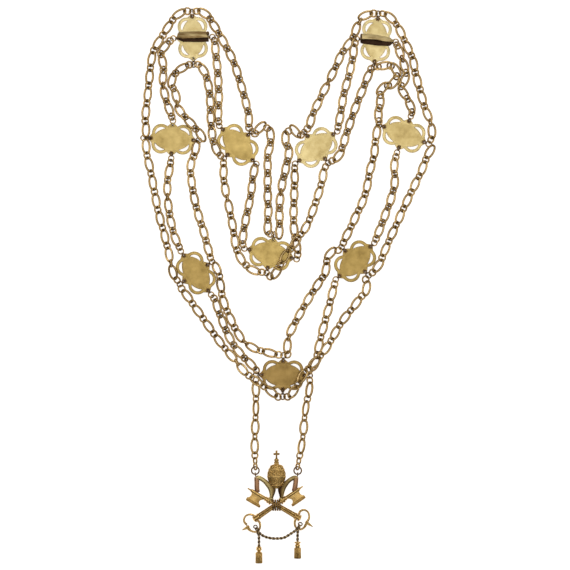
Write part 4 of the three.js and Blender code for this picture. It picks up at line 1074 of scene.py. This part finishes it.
key_parts, bit_parts = keys()
mesh_piece("badge_tiara", tiara(), "cast_gilt", ["badge_emblem"], sharp=50)
mesh_piece("badge_lappets_inner", inner_lappets(), "strap_gilt")
mesh_piece("badge_lappets_outer", outer_lappets(), "red_strap")
mesh_piece("badge_keys", key_parts, "smooth_gilt", sharp=50)
mesh_piece("badge_bits", bit_parts, "smooth_gilt", sharp=35)
mesh_piece("badge_bows", bows(), "smooth_gilt")
mesh_piece("badge_binding", binding() + hangers(), "solder")
for side, (x, y) in BADGE_RING_AT.items():
    ring = on_badge(torus(BADGE_RING[0] / 2, BADGE_RING[1], 32, 10), 0.3, x, y, 0.0, STRAP_Z)
    mesh_piece(f"badge_ring_{side}_wire", [ring], "solder", [f"badge_ring_{side}"])


def rope(points):
    """Two wires twisted together along the points, each with painted shade where it turns underneath."""
    path = Route(points)
    marks = np.linspace(0, path.length, int(path.length / ROPE_STEP) + 1)
    middle = path.place(marks)
    sides, ups = directions(middle)
    made = []
    for phase in (0, math.pi):
        twist = marks / ROPE_PITCH * 2 * math.pi + phase
        wire_middle = middle + ROPE_OFFSET * (sides * np.cos(twist)[:, None] + ups * np.sin(twist)[:, None])
        wire = sweep(wire_middle, ROPE_WIRE / 2, ROPE_WIRE / 2, ROPE_SIDES, per_span=1)
        # painted shade: each wire is darker where the twist takes it under, lighter on top
        made.append(on_badge(wire, 0.5 - 0.5 * np.repeat(np.sin(twist), ROPE_SIDES)))
    return made


def knots():
    made = []
    for x, y, z, radius in KNOTS:
        ring = (*torus(radius, KNOT_WIRE, 20, 8), 0.4)
        points, faces, tarnish_and_shade = placed_link(ring, np.zeros(3), np.array([1.0, 0.0, 0.0]), KNOT_TILT)
        made.append(on_badge((points, faces), tarnish_and_shade, x, y, 0.0, z))
    return made


rope_parts = rope(SWAG) + knots()
for drop in DROPS.values():
    rope_parts += rope(drop)
mesh_piece("badge_rope_wires", rope_parts, "rope_gilt", ["badge_rope"])

for side, head in TASSEL_HEADS.items():
    x, y, _ = DROPS[side][-1]
    shapes = (fluted(head, 32, 1.0, 0, 0, TASSEL_SHADES),
              fluted(SKIRT_PROFILE, 84, 1.0, SKIRT_RIBS, SKIRT_GROOVE, TASSEL_SHADES))
    parts = [on_badge(*shape, x, y, -math.pi / 2, TASSEL_Z) for shape in shapes]
    mesh_piece(f"badge_tassel_{side}_cast", parts, "smooth_gilt", [f"badge_tassel_{side}"],
               sharp=50)


# Stage: a white surface, soft light from above and a dark room beyond it
FRAME_WIDTH = 570 * 0.85  # what the picture shows, in millimetres
VIEW_CENTRE = (1.7, 76.5)
CAMERA_HEIGHT = 2.0
SENSOR = 36.0
FLOOR_SIZE = 6
FLOOR_PLACE = (0, 0.1, -0.0002)
LIT_POINT = (0, 0.1, 0)
LAMPS = {  # place, size and power
    "softbox_top": ((0, 0.1, 3.0), 2.0, 14),
    "softbox_left": ((-1.9, 0.5, 1.7), 0.9, 7),
    "softbox_right": ((1.9, 0.2, 1.7), 0.9, 7),
    "softbox_back": ((0.2, 2.1, 1.7), 0.9, 16),
    "softbox_front": ((-0.2, -1.8, 1.7), 0.9, 4),
}
ROOM_LIGHT = 0.12

bpy.ops.mesh.primitive_plane_add(size=FLOOR_SIZE, location=FLOOR_PLACE)
floor = bpy.context.active_object
floor.name = "floor"
white = bpy.data.materials.new("white_surface")
white.use_nodes = True
fill(white.node_tree.nodes["Principled BSDF"], {
    "Base Color": (0.8, 0.8, 0.8, 1), "Roughness": 0.9,
    "Emission Color": (1, 1, 1, 1), "Emission Strength": 0.8,
})
floor.data.materials.append(white)

for name, (place, size, power) in LAMPS.items():
    light = bpy.data.lights.new(name, "AREA")
    light.shape = "SQUARE"
    light.size = size
    light.energy = power
    lamp = added(name, light)
    lamp.location = place
    lamp.rotation_euler = (Vector(LIT_POINT) - Vector(place)).to_track_quat("-Z", "Y").to_euler()
world = bpy.data.worlds.new("room")
world.use_nodes = True
fill(world.node_tree.nodes["Background"], {"Color": (1, 1, 1, 1), "Strength": ROOM_LIGHT})
bpy.context.scene.world = world
bpy.context.scene.view_settings.view_transform = "Standard"

camera_data = bpy.data.cameras.new("camera")
camera_data.sensor_width = SENSOR
camera_data.lens = SENSOR * CAMERA_HEIGHT / (FRAME_WIDTH * MM)
camera = added("camera", camera_data)
camera.location = (VIEW_CENTRE[0] * MM, VIEW_CENTRE[1] * MM, CAMERA_HEIGHT)
bpy.context.scene.camera = camera
